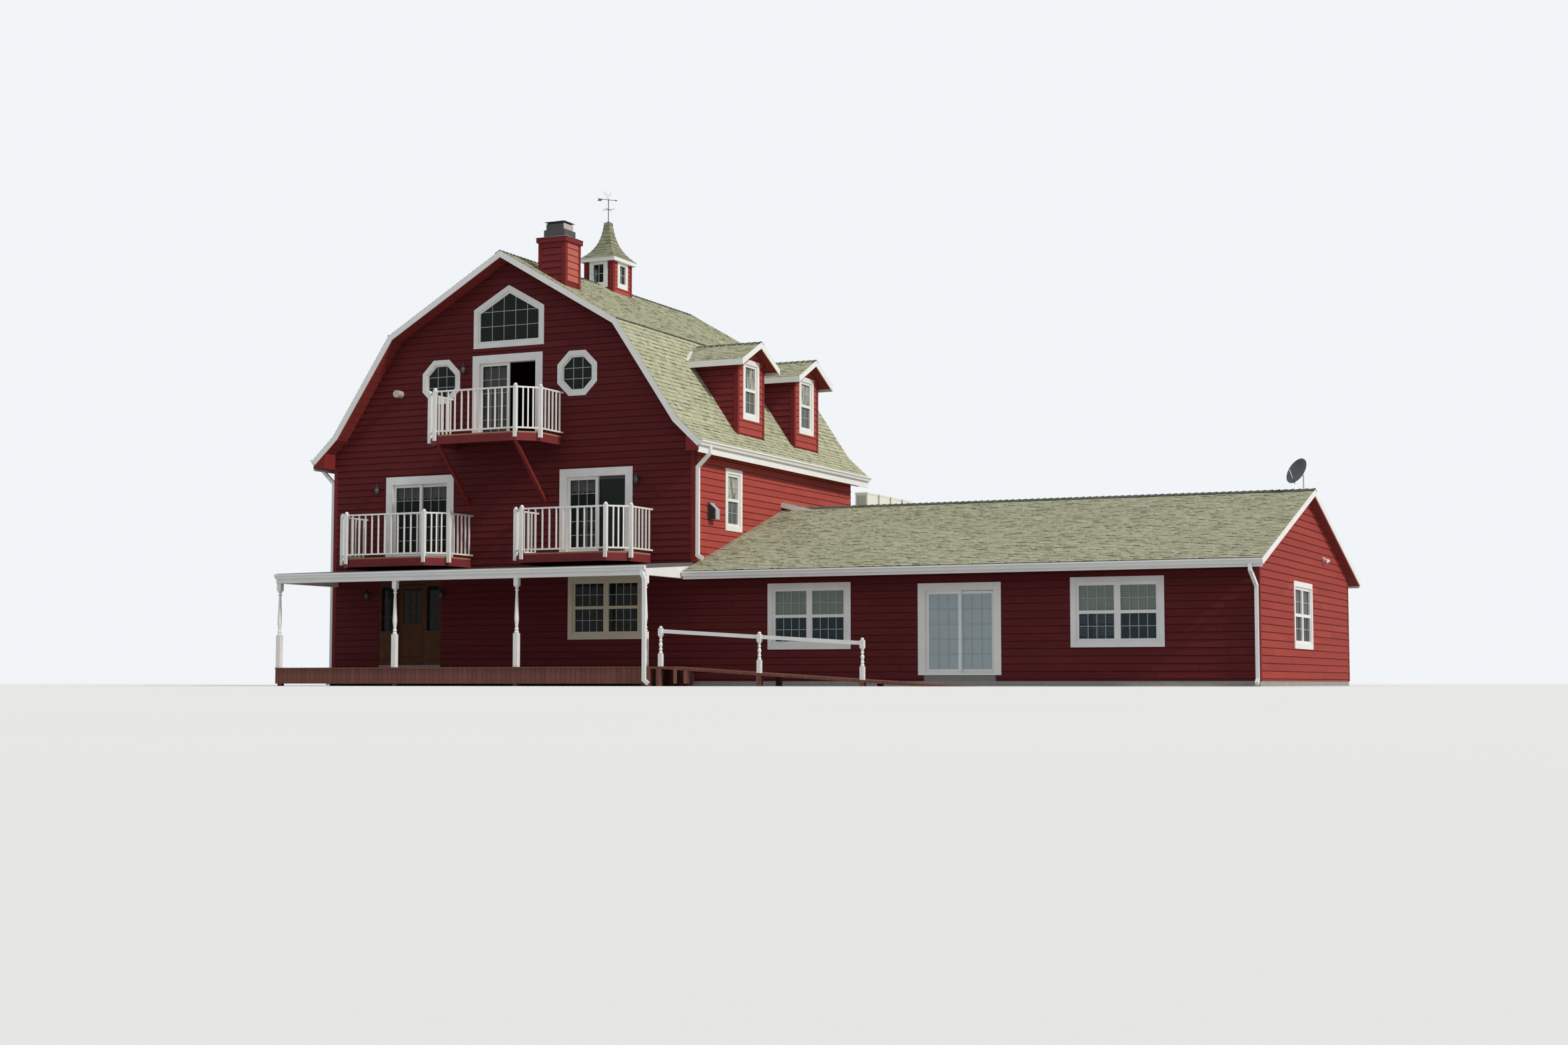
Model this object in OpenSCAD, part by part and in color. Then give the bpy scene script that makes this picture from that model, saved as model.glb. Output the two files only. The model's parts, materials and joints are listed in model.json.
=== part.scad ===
// Red gambrel-roofed barn house with a low wing, a front porch and three balconies.
// Millimetres. The origin is the centre of the main block's footprint on the ground,
// X runs along the front from left to right, Y runs back and Z is up.

/* [Main block] */
// Width of the main block over its side walls
main_w = 10900; // [10000:50:12000]
// Depth of the main block from front wall to back wall
main_d = 10000; // [9000:50:11500]
// Thickness of the outer walls
wall_t = 160; // [120:10:220]
// Height of the foundation under the main block
found_h = 300; // [200:10:400]
// Thickness of the foundation walls
found_t = 250; // [230:10:400]
// Level of the main block's ground floor
ground_floor_z = 550; // [450:10:650]
// Level of the second floor
second_floor_z = 3350; // [3250:10:3500]
// Level of the attic floor
attic_floor_z = 6450; // [6350:10:6700]
// Thickness of the upper floors with their joists
floor_t = 240; // [180:10:300]

/* [Main roof] */
// Height of the ridge above the attic floor
ridge_rise = 4850; // [4500:50:5200]
// Height of the kink between upper and lower slope above the attic floor
kink_rise = 2830; // [2600:10:3000]
// Distance of that kink in from the side wall
kink_in = 2000; // [1800:10:2200]
// Height above the attic floor where the eave starts to flare
flare_rise = 225; // [150:5:300]
// Distance of the start of the flare in from the side wall
flare_in = 255; // [200:5:300]
// Drop of the eave's edge below the attic floor
eave_drop = 355; // [300:5:400]
// Overhang of the eave beyond the side wall
eave_over = 365; // [300:5:450]
// Thickness of the roof with rafters and boarding
roof_t = 150; // [110:5:180]
// Overhang of the roof beyond the gable walls
rake_over = 490; // [350:10:600]
// Thickness of the white trim boards
board_t = 25; // [18:1:35]
// Depth of the boxed eave below the roof's edge
eave_box_h = 265; // [220:5:300]

/* [Wing] */
// Length of the wing to the right of the main block
wing_l = 14050; // [12000:50:16000]
// Distance of the wing's back wall behind the back wall of the main block
wing_back_out = 800; // [600:10:1600]
// Height of the foundation under the wing
wing_found_h = 120; // [80:10:160]
// Level of the wing's floor
wing_floor_z = 260; // [240:10:320]
// Height of the top of the wing's eave
wing_eave_z = 2830; // [2780:10:3000]
// Height of the wing's ridge
wing_ridge_z = 4800; // [4500:10:5000]
// Overhang of the wing's eaves
wing_eave_over = 620; // [500:10:700]
// Overhang of the wing's roof beyond its gable end
wing_rake_over = 240; // [150:10:300]

/* [Windows and doors] */
// Width of the flat casing round windows and doors
casing_w = 120; // [90:5:140]
// Thickness of that casing on the wall
casing_t = 30; // [20:1:40]
// Width of a single double-hung window over its casing
hung_w = 980; // [900:10:1040]
// Width of a pair of double-hung windows over their casing
pair_w = 2200; // [2100:10:2300]
// Height of a double-hung window over its casing
hung_h = 1610; // [1500:10:1660]
// Width of the sash frame round each pane
sash_w = 75; // [50:5:90]
// Thickness of the sashes
sash_t = 45; // [35:5:60]
// Thickness of the glass
glass_t = 8; // [6:1:20]
// Width of a sliding door unit in its opening
slider_w = 1830; // [1700:10:1900]
// Height of a sliding door unit in its opening
slider_h = 2050; // [2000:10:2100]
// Distance of an octagon window's centre from the middle of the gable
octagon_x = 2070; // [2000:10:2300]
// Width of an octagon window over its casing, across flats
octagon_w = 1170; // [1000:10:1200]
// Width of the gable window over its casing
gable_win_w = 2140; // [2000:10:2300]
// Height of the gable window's sill above the attic floor
gable_sill_h = 2390; // [2330:10:2450]
// Distance of the entry's middle from the left corner of the main block
entry_in = 2460; // [2300:10:2560]
// Width of the entry with its sidelites
entry_w = 1960; // [1900:10:2000]
// Height of the entry
entry_h = 2200; // [2150:10:2240]
// Width of the entry door's leaf
leaf_w = 915; // [860:5:960]
// Thickness of the entry door's leaf
leaf_t = 45; // [38:1:55]
// Clearance round doors that move
door_gap = 8; // [7:1:12]
// Left edge of the patio doorway, from the main block
patio_in = 6080; // [5500:10:6500]
// Width of the flat casing round the upper sliding doors
door_casing_w = 150; // [100:5:160]
// Distance of the porch window's middle from the right corner of the main block
porch_win_in = 2505; // [2450:5:2560]
// Distance of the back windows' middles from the corners of the main block
back_win_in = 2805; // [2500:5:3000]
// Distance of the side windows' middles from the corners of the main block
side_win_in = 2210; // [2000:10:2400]
// Distance of the wing's first windows' middles from the main block
wing_win_in = 3130; // [2900:10:3400]
// Distance of the wing's last windows' middles from the wing's end
wing_win_end = 3240; // [3000:10:3500]
// Distance of the end window's middle from the wing's front corner
wing_end_win_in = 4800; // [4500:10:5200]
// Height of a window's sill above the floor
sill_h = 630; // [600:10:700]

/* [Balconies] */
// Distance of the left balcony's middle from the left corner of the main block
left_balcony_in = 2740; // [2650:10:2800]
// Distance of the right balcony's middle from the right corner of the main block
right_balcony_in = 2840; // [2750:10:2900]
// Distance of the right sliding door's middle from the right corner of the main block
right_door_in = 2810; // [2750:10:2900]
// Width of a balcony over its side rails
balcony_w = 3320; // [3200:10:3400]
// Depth of a balcony out from the wall
balcony_d = 1580; // [1400:10:1650]
// Length of the chamfer at a balcony's front corners
balcony_cut = 460; // [400:10:520]
// Height of the balcony rails above their floor
rail_h = 1130; // [1000:10:1200]
// Side of the square rail posts
rail_post = 90; // [70:5:110]
// Number of balusters along the front of a balcony
front_balusters = 11; // [9:1:15]
// Number of balusters across a balcony's chamfered corner
corner_balusters = 3; // [2:1:4]
// Number of balusters along the side of a balcony
side_balusters = 5; // [4:1:7]
// Side of the square balusters
baluster = 34; // [25:1:45]
// Height of the rim board under a balcony's floor
rim_h = 200; // [180:5:220]
// Distance of the braces' feet below the attic floor
brace_drop = 1770; // [1500:10:1900]
// Height of the wall lanterns above their floor
lantern_h = 1880; // [1700:10:2000]

/* [Porch and ramp] */
// Depth of the porch roof from the wall to its front edge
porch_d = 2490; // [2300:10:2700]
// Level of the porch deck
porch_z = 470; // [420:10:500]
// Height of the underside of the porch beam
porch_beam_z = 2650; // [2600:10:2700]
// Height of the porch roof's front edge
porch_front_z = 2900; // [2880:10:2940]
// Height of the porch roof at the wall
porch_wall_z = 3070; // [3020:10:3090]
// Thickness of the porch roof
porch_roof_t = 90; // [70:5:120]
// Side of the square ends of the porch posts
post_w = 125; // [100:5:150]
// Width of the ramp beside the porch
ramp_w = 1200; // [1000:10:1300]
// Length of the level landing at the head of the ramp
landing_l = 400; // [300:50:1500]
// Distance between the posts of the ramp's rail
ramp_post_gap = 2590; // [2400:10:2700]
// Run of the ramp for each unit of its fall
ramp_run = 16; // [12:1:20]

/* [Dormers] */
// Width of a dormer over its cheeks
dormer_w = 1600; // [1500:10:1800]
// Thickness of a dormer's walls
dormer_t = 120; // [100:5:150]
// Distance of the first dormer's middle from the front wall
dormer_first = 3550; // [3200:10:3800]
// Distance between the middles of the two dormers
dormer_pitch = 3600; // [3400:10:3900]
// Distance of a dormer's front in from the side wall
dormer_in = 150; // [100:10:200]
// Height of a dormer window's casing above the attic floor
dormer_sill_h = 560; // [520:10:600]
// Height of a dormer's ridge above the attic floor
dormer_ridge = 2650; // [2500:10:2700]
// Overhang of a dormer's roof over its front and cheeks
dormer_over = 330; // [250:10:360]
// Height of the white boards round a dormer's roof
dormer_board_h = 165; // [120:5:200]

/* [Chimney and cupola] */
// Width of the chimney chase along the front
chimney_w = 780; // [700:10:900]
// Depth of the chimney chase
chimney_d = 750; // [700:10:900]
// Height of the chimney chase above the ridge
chimney_rise = 340; // [250:10:450]
// Width of the cupola along the front
cupola_w = 900; // [860:10:1100]
// Depth of the cupola
cupola_d = 1060; // [960:10:1200]
// Distance of the cupola's middle behind the front wall
cupola_y = 5250; // [4800:10:5800]
// Height of the cupola's eave above the ridge
cupola_rise = 630; // [550:10:700]
// Height of the white board under the cupola's roof
cornice_h = 110; // [80:5:140]
// Height of the cupola's bell-cast roof with that board
cupola_roof_h = 1210; // [1000:10:1400]
// Heading of the vane's arrow at rest, turned from the X axis
vane_heading = 45; // [0:5:90]

/* [Roof behind the wing's ridge] */
// Length of the low roof along the wing
low_roof_l = 3000; // [2500:50:3500]
// Height of that roof where it meets the main block
low_roof_z = 4970; // [4920:10:5100]
// Number of condenser units in a row on that roof
unit_count = 4; // [1:1:4]
// Depth of one condenser unit
unit_d = 760; // [600:10:800]
// Distance between the fronts of two condenser units
unit_pitch = 880; // [860:10:950]
// Height of the condenser units
unit_h = 680; // [550:10:800]
// Width across the satellite dish
dish_w = 680; // [500:10:760]

/* [Hidden] */

barn_red = [0.50, 0.13, 0.13];
trim_white = [0.92, 0.92, 0.90];
shingle = [0.45, 0.47, 0.40];
pale_glass = [0.35, 0.42, 0.45, 0.5];
floor_wood = [0.55, 0.42, 0.30];
deck_red = [0.42, 0.20, 0.16];
door_brown = [0.35, 0.20, 0.12];
round_fn = 32;
// Gap between two solids that bear on each other
seat = 0.3;

half_w = main_w/2;
wing_d = main_d + wing_back_out;
entry_x = -half_w + entry_in;
front_y = -main_d/2;
back_y = main_d/2;
inner_x = half_w - wall_t;
inner_y = main_d/2 - wall_t;

// Outer line of the main roof from the ridge to the right eave, as [x, z]
roof_line = [
  [0, attic_floor_z + ridge_rise],
  [half_w - kink_in, attic_floor_z + kink_rise],
  [half_w - flare_in, attic_floor_z + flare_rise],
  [half_w + eave_over, attic_floor_z - eave_drop]
];
ridge_z = roof_line[0].y;
kink = roof_line[1];
flare = roof_line[2];
eave = roof_line[3];
box_z = eave.y - eave_box_h;

// Unit normal that points into the roof from the line a to b
function inward(a, b) = let (d = (b - a)/norm(b - a)) [d.y, -d.x];
// Height of the straight line through a and b at x
function height_at(a, b, x) = a.y + (b.y - a.y)*(x - a.x)/(b.x - a.x);
// Corner between two lines that are both moved inwards by t
function mitre(a, b, c, t) = let (m = inward(a, b), n = inward(b, c)) b + t*(m + n)/(1 + m*n);
// Line moved inwards by t, with its first point on the ridge and its last one plumb below the eave
function under_line(t) = let (
  top = inward(roof_line[0], kink),
  low = inward(flare, eave),
  bend = mitre(kink, flare, eave, t),
  tip = eave + t*low
) [
  [0, ridge_z - t/abs(top.y)],
  mitre(roof_line[0], kink, flare, t),
  bend,
  [eave.x, height_at(bend, tip, eave.x)]
];
soffit = under_line(roof_t);
// Height of the roof's underside above the side walls
function soffit_z(x) = height_at(soffit[2], soffit[3], x);
function flip(points) = [for (i = [len(points) - 1:-1:0]) [-points[i].x, points[i].y]];
function slope_x(z) = height_at([kink.y, kink.x], [flare.y, flare.x], z);

// Box between two opposite corners
module box(low, high) {
  translate(low)
    cube(high - low);
}

// Outline drawn in X and Z, made t thick from y backwards
module upright(y, t) {
  translate([0, y + t, 0])
    rotate([90, 0, 0])
      linear_extrude(t)
        children();
}

// Outline drawn in Y and Z, made t thick from x to the right
module sideways(x, t) {
  translate([x, 0, 0])
    rotate([90, 0, 90])
      linear_extrude(t)
        children();
}

// Rectangle between two opposite corners
module rect(low, high) {
  translate(low)
    square(high - low);
}

// Shape under the outer face of the whole main roof
module main_mass() {
  upright(front_y - 2*rake_over, main_d + 4*rake_over)
    polygon(concat(roof_line, [[eave.x, 0], [-eave.x, 0]], flip(roof_line)));
}

// Windows: each is [middle along its wall, sill height of its casing, width, number of units]
sill_ground = ground_floor_z + sill_h;
sill_second = second_floor_z + sill_h;
sill_attic = attic_floor_z + sill_h;
front_windows = [[half_w - porch_win_in, sill_ground, pair_w, 2]];
right_windows = [[front_y + side_win_in, sill_second, hung_w, 1]];
left_windows = [
  for (y = [front_y + side_win_in, back_y - side_win_in], z = [sill_ground, sill_second])
    [-y, z, hung_w, 1]
];
back_windows = concat(
  [for (side = [-1, 1], z = [sill_ground, sill_second]) [side*(half_w - back_win_in), z, pair_w, 2]],
  [[0, sill_attic, pair_w, 2]]
);
wing_x = half_w + wing_l;
wing_back_y = front_y + wing_d;
wing_sill = wing_floor_z + sill_h;
wing_first_x = half_w + wing_win_in;
wing_last_x = wing_x - wing_win_end;
wing_front_windows = [[wing_first_x, wing_sill, pair_w, 2], [wing_last_x, wing_sill, pair_w, 2]];
wing_back_windows = [
  for (x = [wing_first_x, (wing_first_x + wing_last_x)/2, wing_last_x]) [-x, wing_sill, pair_w, 2]
];
wing_end_windows = [[front_y + wing_end_win_in, wing_sill, pair_w, 2]];

// Hole in the wall behind the casing of a window
module window_hole(w) {
  rect([w[0] - w[2]/2 + casing_w, w[1] + casing_w],
     [w[0] + w[2]/2 - casing_w, w[1] + hung_h - casing_w]);
}

// Distance by which a casing laps the opening behind it
lap = 10;

// Panes of a double-hung window as outlines in the plane of its wall
module window_panes(w) {
  inner_w = w[2] - 2*casing_w;
  unit_w = inner_w/w[3];
  pane_h = (hung_h - 2*casing_w - 3*sash_w)/2;
  for (i = [0:w[3] - 1], j = [0, 1])
    translate([-inner_w/2 + i*unit_w + sash_w, casing_w + sash_w + j*(pane_h + sash_w)])
      square([unit_w - 2*sash_w, pane_h]);
}

// Casing and sashes of a double-hung window, its wall's outer face at y = 0
module hung_frame(w) {
  difference() {
    union() {
      upright(-casing_t, casing_t)
        rect([-w[2]/2, 0], [w[2]/2, hung_h]);
      upright(0, sash_t)
        rect([-w[2]/2 + casing_w, casing_w], [w[2]/2 - casing_w, hung_h - casing_w]);
    }
    upright(-casing_t - 1, casing_t + 1)
      rect([-w[2]/2 + casing_w + lap, casing_w + lap],
         [w[2]/2 - casing_w - lap, hung_h - casing_w - lap]);
    upright(-1, sash_t + 2)
      window_panes(w);
  }
}

// Sheet of glass behind the sashes of a window
module hung_glass(w) {
  upright(sash_t, glass_t)
    rect([-w[2]/2 + casing_w, casing_w], [w[2]/2 - casing_w, hung_h - casing_w]);
}

// Children at every rectangular window: each wall is [its windows, its turn from the front, its distance]
module at_windows() {
  walls = [
    [front_windows, 0, -front_y], [right_windows, 90, half_w], [left_windows, -90, half_w],
    [back_windows, 180, back_y], [wing_front_windows, 0, -front_y],
    [wing_back_windows, 180, wing_back_y], [wing_end_windows, 90, wing_x],
    [dormer_windows, 90, dormer_x],
    [[for (w = dormer_windows) [-w[0], w[1], w[2], w[3]]], -90, dormer_x]
  ];
  for (wall = walls, w = wall[0])
    rotate([0, 0, wall[1]])
      translate([w[0], -wall[2], w[1]]) {
        $window = w;
        children();
      }
}

// Foundation and floors

// Closed ring of foundation wall between two opposite corners
module foundation_ring(low, high) {
  difference() {
    box(low, high);
    box([low.x + found_t, low.y + found_t, -1], [high.x - found_t, high.y - found_t, high.z + 1]);
  }
}

module foundation() {
  color([0.62, 0.60, 0.56]) {
    foundation_ring([-half_w, front_y, 0], [half_w, back_y, found_h]);
    foundation_ring([half_w + seat, front_y, 0], [wing_x, wing_back_y, wing_found_h]);
  }
}

entry_left = entry_x - entry_w/2;
entry_right = entry_x + entry_w/2;
patio_left = half_w + patio_in;
patio_right = patio_left + slider_w;

module ground_floors() {
  color(floor_wood) {
    box([-inner_x, -inner_y, found_h], [inner_x, inner_y, ground_floor_z]);
    box([entry_left, front_y, found_h], [entry_right, -inner_y + 1, ground_floor_z]);
    box([half_w + wall_t, -inner_y, wing_found_h],
      [wing_x - wall_t, wing_back_y - wall_t, wing_floor_z]);
    box([half_w, -inner_y, wing_found_h], [half_w + wall_t + 1, back_y, wing_floor_z]);
    box([patio_left, front_y, wing_found_h], [patio_right, -inner_y + 1, wing_floor_z]);
  }
}

module upper_floors() {
  low = attic_floor_z - floor_t;
  top_x = height_at([soffit[2].y, soffit[2].x], [soffit[3].y, soffit[3].x], attic_floor_z);
  edge_z = soffit_z(inner_x);
  color(floor_wood) {
    box([-inner_x, -inner_y, second_floor_z - floor_t], [inner_x, inner_y, second_floor_z]);
    upright(-inner_y, 2*inner_y)
      polygon([
        [-inner_x, low], [inner_x, low], [inner_x, edge_z],
        [top_x, attic_floor_z], [-top_x, attic_floor_z], [-inner_x, edge_z]
      ]);
  }
}

// Walls of the main block

entry_top = ground_floor_z + entry_h;
gable_door_x = -30;
gable_split_z = attic_floor_z + 2230;
closed_doors = [[-half_w + left_balcony_in, second_floor_z], [half_w - right_door_in, second_floor_z]];
attic_door_at = [gable_door_x, attic_floor_z];

// Outline of a gable wall, from its foot to the roof's underside
module gable_outline(foot) {
  half = [
    soffit[0], soffit[1], soffit[2], [half_w, soffit_z(half_w)], [half_w, foot]
  ];
  polygon(concat(half, flip(half)));
}

module band(low, high) {
  rect([-main_w, low], [main_w, high]);
}

module front_walls_beside() {
  color(barn_red)
    upright(front_y, wall_t) {
      rect([-half_w, found_h], [entry_left, entry_top]);
      difference() {
        rect([entry_right, found_h], [half_w, entry_top]);
        for (w = front_windows)
          window_hole(w);
      }
    }
}

module front_wall_upper() {
  color(barn_red)
    upright(front_y, wall_t)
      difference() {
        intersection() {
          gable_outline(found_h);
          band(entry_top, attic_floor_z);
        }
        for (d = closed_doors)
          rect([d[0] - slider_w/2, d[1]], [d[0] + slider_w/2, d[1] + slider_h]);
      }
}

module octagon(w) {
  rotate(22.5)
    circle(d = w/cos(22.5), $fn = 8);
}

octagon_z = attic_floor_z + 1575;
octagon_hole = octagon_w - 2*casing_w;

// Parts of the gable wall beside the attic door
module gable_walls_beside() {
  color(barn_red)
    for (side = [-1, 1])
      upright(front_y, wall_t)
        difference() {
          intersection() {
            gable_outline(found_h);
            band(attic_floor_z, gable_split_z);
            translate([gable_door_x + side*(slider_w/2 + main_w/2), gable_split_z])
              square(main_w, center = true);
          }
          translate([side*octagon_x, octagon_z])
            octagon(octagon_hole);
        }
}

gable_win_z = attic_floor_z + gable_sill_h;
gable_win_side = 1030;
gable_win_rise = 600;

// Five-sided gable window, drawn inset by t from the outside of its casing
module gable_window_outline(t) {
  w = gable_win_w/2;
  lean = atan(gable_win_rise/w);
  shoulder = gable_win_side + t*tan(lean) - t/cos(lean);
  polygon([
    [-w + t, t], [w - t, t], [w - t, shoulder],
    [0, gable_win_side + gable_win_rise - t/cos(lean)], [-w + t, shoulder]
  ]);
}

module gable_wall_top() {
  color(barn_red)
    upright(front_y, wall_t)
      difference() {
        union() {
          intersection() {
            gable_outline(found_h);
            band(gable_split_z, ridge_z);
          }
          rect([gable_door_x - slider_w/2, attic_floor_z + slider_h],
             [gable_door_x + slider_w/2, gable_split_z - seat]);
        }
        translate([0, gable_win_z])
          gable_window_outline(casing_w);
      }
}

module back_wall() {
  color(barn_red)
    upright(back_y - wall_t, wall_t)
      difference() {
        gable_outline(found_h);
        for (w = back_windows)
          mirror([1, 0])
            window_hole(w);
      }
}

// Side wall between the gable walls, on the side given by its sign
module side_wall(side, windows) {
  difference() {
    upright(-inner_y, 2*inner_y)
      polygon([
        [side*inner_x, found_h], [side*half_w, found_h],
        [side*half_w, soffit_z(half_w)], [side*inner_x, soffit_z(inner_x)]
      ]);
    for (w = windows)
      sideways(side*half_w - main_w/4, main_w/2)
        mirror([side < 0 ? 1 : 0, 0])
          window_hole(w);
  }
}

module side_walls() {
  color(barn_red) {
    side_wall(-1, left_windows);
    side_wall(1, right_windows);
  }
}

corner_w = 95;
corner_t = 20;

// Corner board of two flat boards: sx and sy point out of the corner, and the board on the
// side wall starts at side_low
module corner_board(x, y, sx, sy, low, high, side_low) {
  translate([x, y, 0])
    mirror([sx < 0 ? 1 : 0, 0, 0])
      mirror([0, sy < 0 ? 1 : 0, 0]) {
        box([-corner_w, 0, low], [corner_t, corner_t, high]);
        box([0, -corner_w, side_low], [corner_t, 1, high]);
      }
}

module corner_boards() {
  above_wing = wing_eave_z + wing_slope*(wing_eave_over + corner_w) + 20;
  wing_top = wing_eave_z - wing_plumb + wing_slope*(wing_eave_over - corner_t) - 20;
  color(barn_red) {
    difference() {
      corner_board(-half_w, front_y, -1, -1, found_h, box_z - seat, found_h);
      for (z = [[0, porch_z], [porch_beam_z, porch_wall_z]])
        box([-porch_half - seat, front_y - 2*corner_t, z[0] - seat],
          [porch_half, front_y + corner_t, z[1] + seat]);
    }
    corner_board(half_w, front_y, 1, -1, above_wing, box_z - seat, above_wing);
    corner_board(-half_w, back_y, -1, 1, found_h, box_z - seat, found_h);
    corner_board(wing_x, front_y, 1, -1, wing_found_h, wing_top, wing_found_h);
    corner_board(wing_x, wing_back_y, 1, 1, wing_found_h, wing_top, wing_found_h);
    difference() {
      union() {
        for (side = [0, 1], y = dormer_ys, edge = [-1, 1])
          mirror([side, 0, 0])
            translate([dormer_x, y + edge*(dormer_w + corner_t)/2, attic_floor_z])
              box([-corner_w, -corner_t/2, 0],
                [0, corner_t/2, dormer_wall_top - dormer_slope*corner_t - attic_floor_z - 5]);
        for (sx = [-1, 1], sy = [-1, 1])
          corner_board(chimney_x + chimney_w*(sx + 1)/2, chimney_y + chimney_d*(sy + 1)/2,
                 sx, sy, kink.y, chimney_top - chimney_band - seat, kink.y);
        for (sx = [-1, 1], sy = [-1, 1])
          corner_board(cupola_mid.x + sx*cupola_w/2, cupola_mid.y + sy*cupola_d/2,
                 sx, sy, kink.y, cupola_top - seat, kink.y);
      }
      main_mass();
    }
  }
}

// Main roof

dormer_x = half_w - dormer_in;
dormer_ys = [for (i = [0, 1]) front_y + dormer_first + i*dormer_pitch];
dormer_windows = [for (y = dormer_ys) [y, attic_floor_z + dormer_sill_h, hung_w, 1]];

// Half of the roof on the right, with an opening into each dormer
module roof_half() {
  difference() {
    upright(front_y - rake_over + board_t, main_d + 2*(rake_over - board_t))
      polygon(concat(roof_line, [soffit[3], soffit[2], soffit[1], soffit[0]]));
    for (y = dormer_ys)
      box([slope_x(attic_floor_z + 2000), y - dormer_w/2 + dormer_t, attic_floor_z],
        [dormer_x - dormer_t, y + dormer_w/2 - dormer_t, ridge_z]);
  }
}

module roof_right() {
  color(shingle)
    roof_half();
}

module roof_left() {
  color(shingle)
    mirror([1, 0, 0])
      roof_half();
}

// White boards along the gambrel line at both gables
module main_rakes() {
  for (y = [front_y - rake_over, back_y + rake_over - board_t])
    upright(y, board_t)
      polygon(concat(
        roof_line, [soffit[3], soffit[2], soffit[1], soffit[0]],
        flip([soffit[3], soffit[2], soffit[1]]), flip([kink, flare, eave])
      ));
}

// White boards along the slopes of every gable
module rake_boards() {
  color(trim_white) {
    main_rakes();
    wing_rakes();
    low_roof_rake();
    for (side = [0, 1], y = dormer_ys)
      mirror([side, 0, 0])
        dormer_rake(y);
  }
}

// White boards along the eaves
module fascia_boards() {
  fascia_x = eave.x - board_t;
  color(trim_white) {
    for (side = [0, 1])
      mirror([side, 0, 0])
        box([fascia_x, front_y - rake_over, box_z], [eave.x, back_y + rake_over, soffit[3].y - seat]);
    wing_fascias();
    cupola_cornice();
    for (side = [0, 1], y = dormer_ys)
      mirror([side, 0, 0])
        dormer_fascias(y);
  }
}

// Boxed eaves, which close the ends of the overhang as cornice returns
module eave_boxes() {
  edge = eave.x - board_t;
  color(barn_red)
    for (side = [-1, 1])
      upright(front_y - rake_over, main_d + 2*rake_over)
        polygon([
          [side*half_w, box_z], [side*edge, box_z],
          [side*edge, soffit_z(edge) - seat], [side*half_w, soffit_z(half_w) - seat]
        ]);
}

gutter_w = 110;
gutter_h = 120;

// Section of a gutter, its back on the fascia at x = 0 and its top at y = 0
module gutter_section() {
  polygon([
    [0, 0], [0, -gutter_h], [gutter_w*0.55, -gutter_h], [gutter_w*0.7, -gutter_h*0.55],
    [gutter_w, -gutter_h*0.3], [gutter_w, 0], [gutter_w - 4, 0], [gutter_w - 4, -gutter_h*0.28],
    [gutter_w*0.66, -gutter_h*0.52], [gutter_w*0.5, -gutter_h + 4], [4, -gutter_h + 4], [4, 0]
  ]);
}

spout_w = 90;
spout_d = 75;
gutter_z = eave.y - 20;
wing_gutter_z = wing_eave_z - 20;
porch_gutter_z = porch_front_z - 20;

// Band of width w along a list of points in a plane, mitred at its bends
function band_side(points, t) = let (last = len(points) - 1) [for (i = [0:last])
  i == 0 ? points[0] + t*inward(points[0], points[1])
  : i == last ? points[last] + t*inward(points[last - 1], points[last])
  : mitre(points[i - 1], points[i], points[i + 1], t)];
function backwards(points) = [for (i = [len(points) - 1:-1:0]) points[i]];

// Outline of a downspout through points in the plane that it bends in
module spout(points) {
  polygon(concat(band_side(points, spout_w/2), backwards(band_side(points, -spout_w/2))));
}

module downspouts() {
  off_wall = corner_t + 8 + spout_w/2;
  wall_x = half_w + off_wall;
  outlet_x = eave.x + spout_w/2 + 1;
  bend_z = box_z - 40;
  outlet_y = wing_eave_over + gutter_w/2;
  porch_x = porch_half - 20;
  porch_outlet_z = porch_gutter_z - gutter_h;
  wing_outlet_z = wing_gutter_z - gutter_h;
  color(trim_white) {
    for (side = [-1, 1], shoe_z = [side < 0 ? 60 : wing_eave_z + 330])
      mirror([side < 0 ? 1 : 0, 0, 0])
        upright(front_y + 5, spout_d)
          spout([
            [outlet_x, gutter_z - gutter_h], [outlet_x, bend_z], [wall_x, bend_z - 330],
            [wall_x, shoe_z + 90], [wall_x + 150, shoe_z]
          ]);
    upright(porch_front_y - spout_d - 5, spout_d)
      spout([
        [porch_x - 70, porch_outlet_z], [porch_x - 70, porch_outlet_z - 70],
        [porch_x, porch_outlet_z - 200], [porch_x, 150], [porch_x + 110, 60]
      ]);
    translate([wing_x - spout_d/2 - 5, front_y, 0])
      mirror([0, 1, 0])
        sideways(-spout_d/2, spout_d)
          spout([
            [outlet_y, wing_outlet_z], [outlet_y, wing_outlet_z - 130],
            [off_wall, wing_outlet_z - 460], [off_wall, 150], [off_wall + 120, 60]
          ]);
  }
}

// Gutter along X at the eave of a roof that slopes to the front, or to the back if turned
module gutter_along(x0, x1, y, z, turned) {
  translate([x0, y, z])
    rotate([90, 0, 90])
      mirror([turned ? 0 : 1, 0, 0])
        linear_extrude(x1 - x0)
          gutter_section();
}

module gutters() {
  wing_end = wing_x + wing_rake_over;
  color(trim_white) {
    for (side = [-1, 1])
      mirror([side < 0 ? 1 : 0, 0, 0])
        upright(front_y - rake_over, main_d + 2*rake_over)
          translate([eave.x, gutter_z])
            gutter_section();
    gutter_along(half_w + 2, wing_end, front_y - wing_eave_over, wing_gutter_z, false);
    gutter_along(half_w, wing_end, wing_back_y + wing_eave_over, wing_gutter_z, true);
    gutter_along(-half_w + 20, half_w - 20, porch_front_y, porch_gutter_z, false);
  }
}

// Dormers

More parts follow.
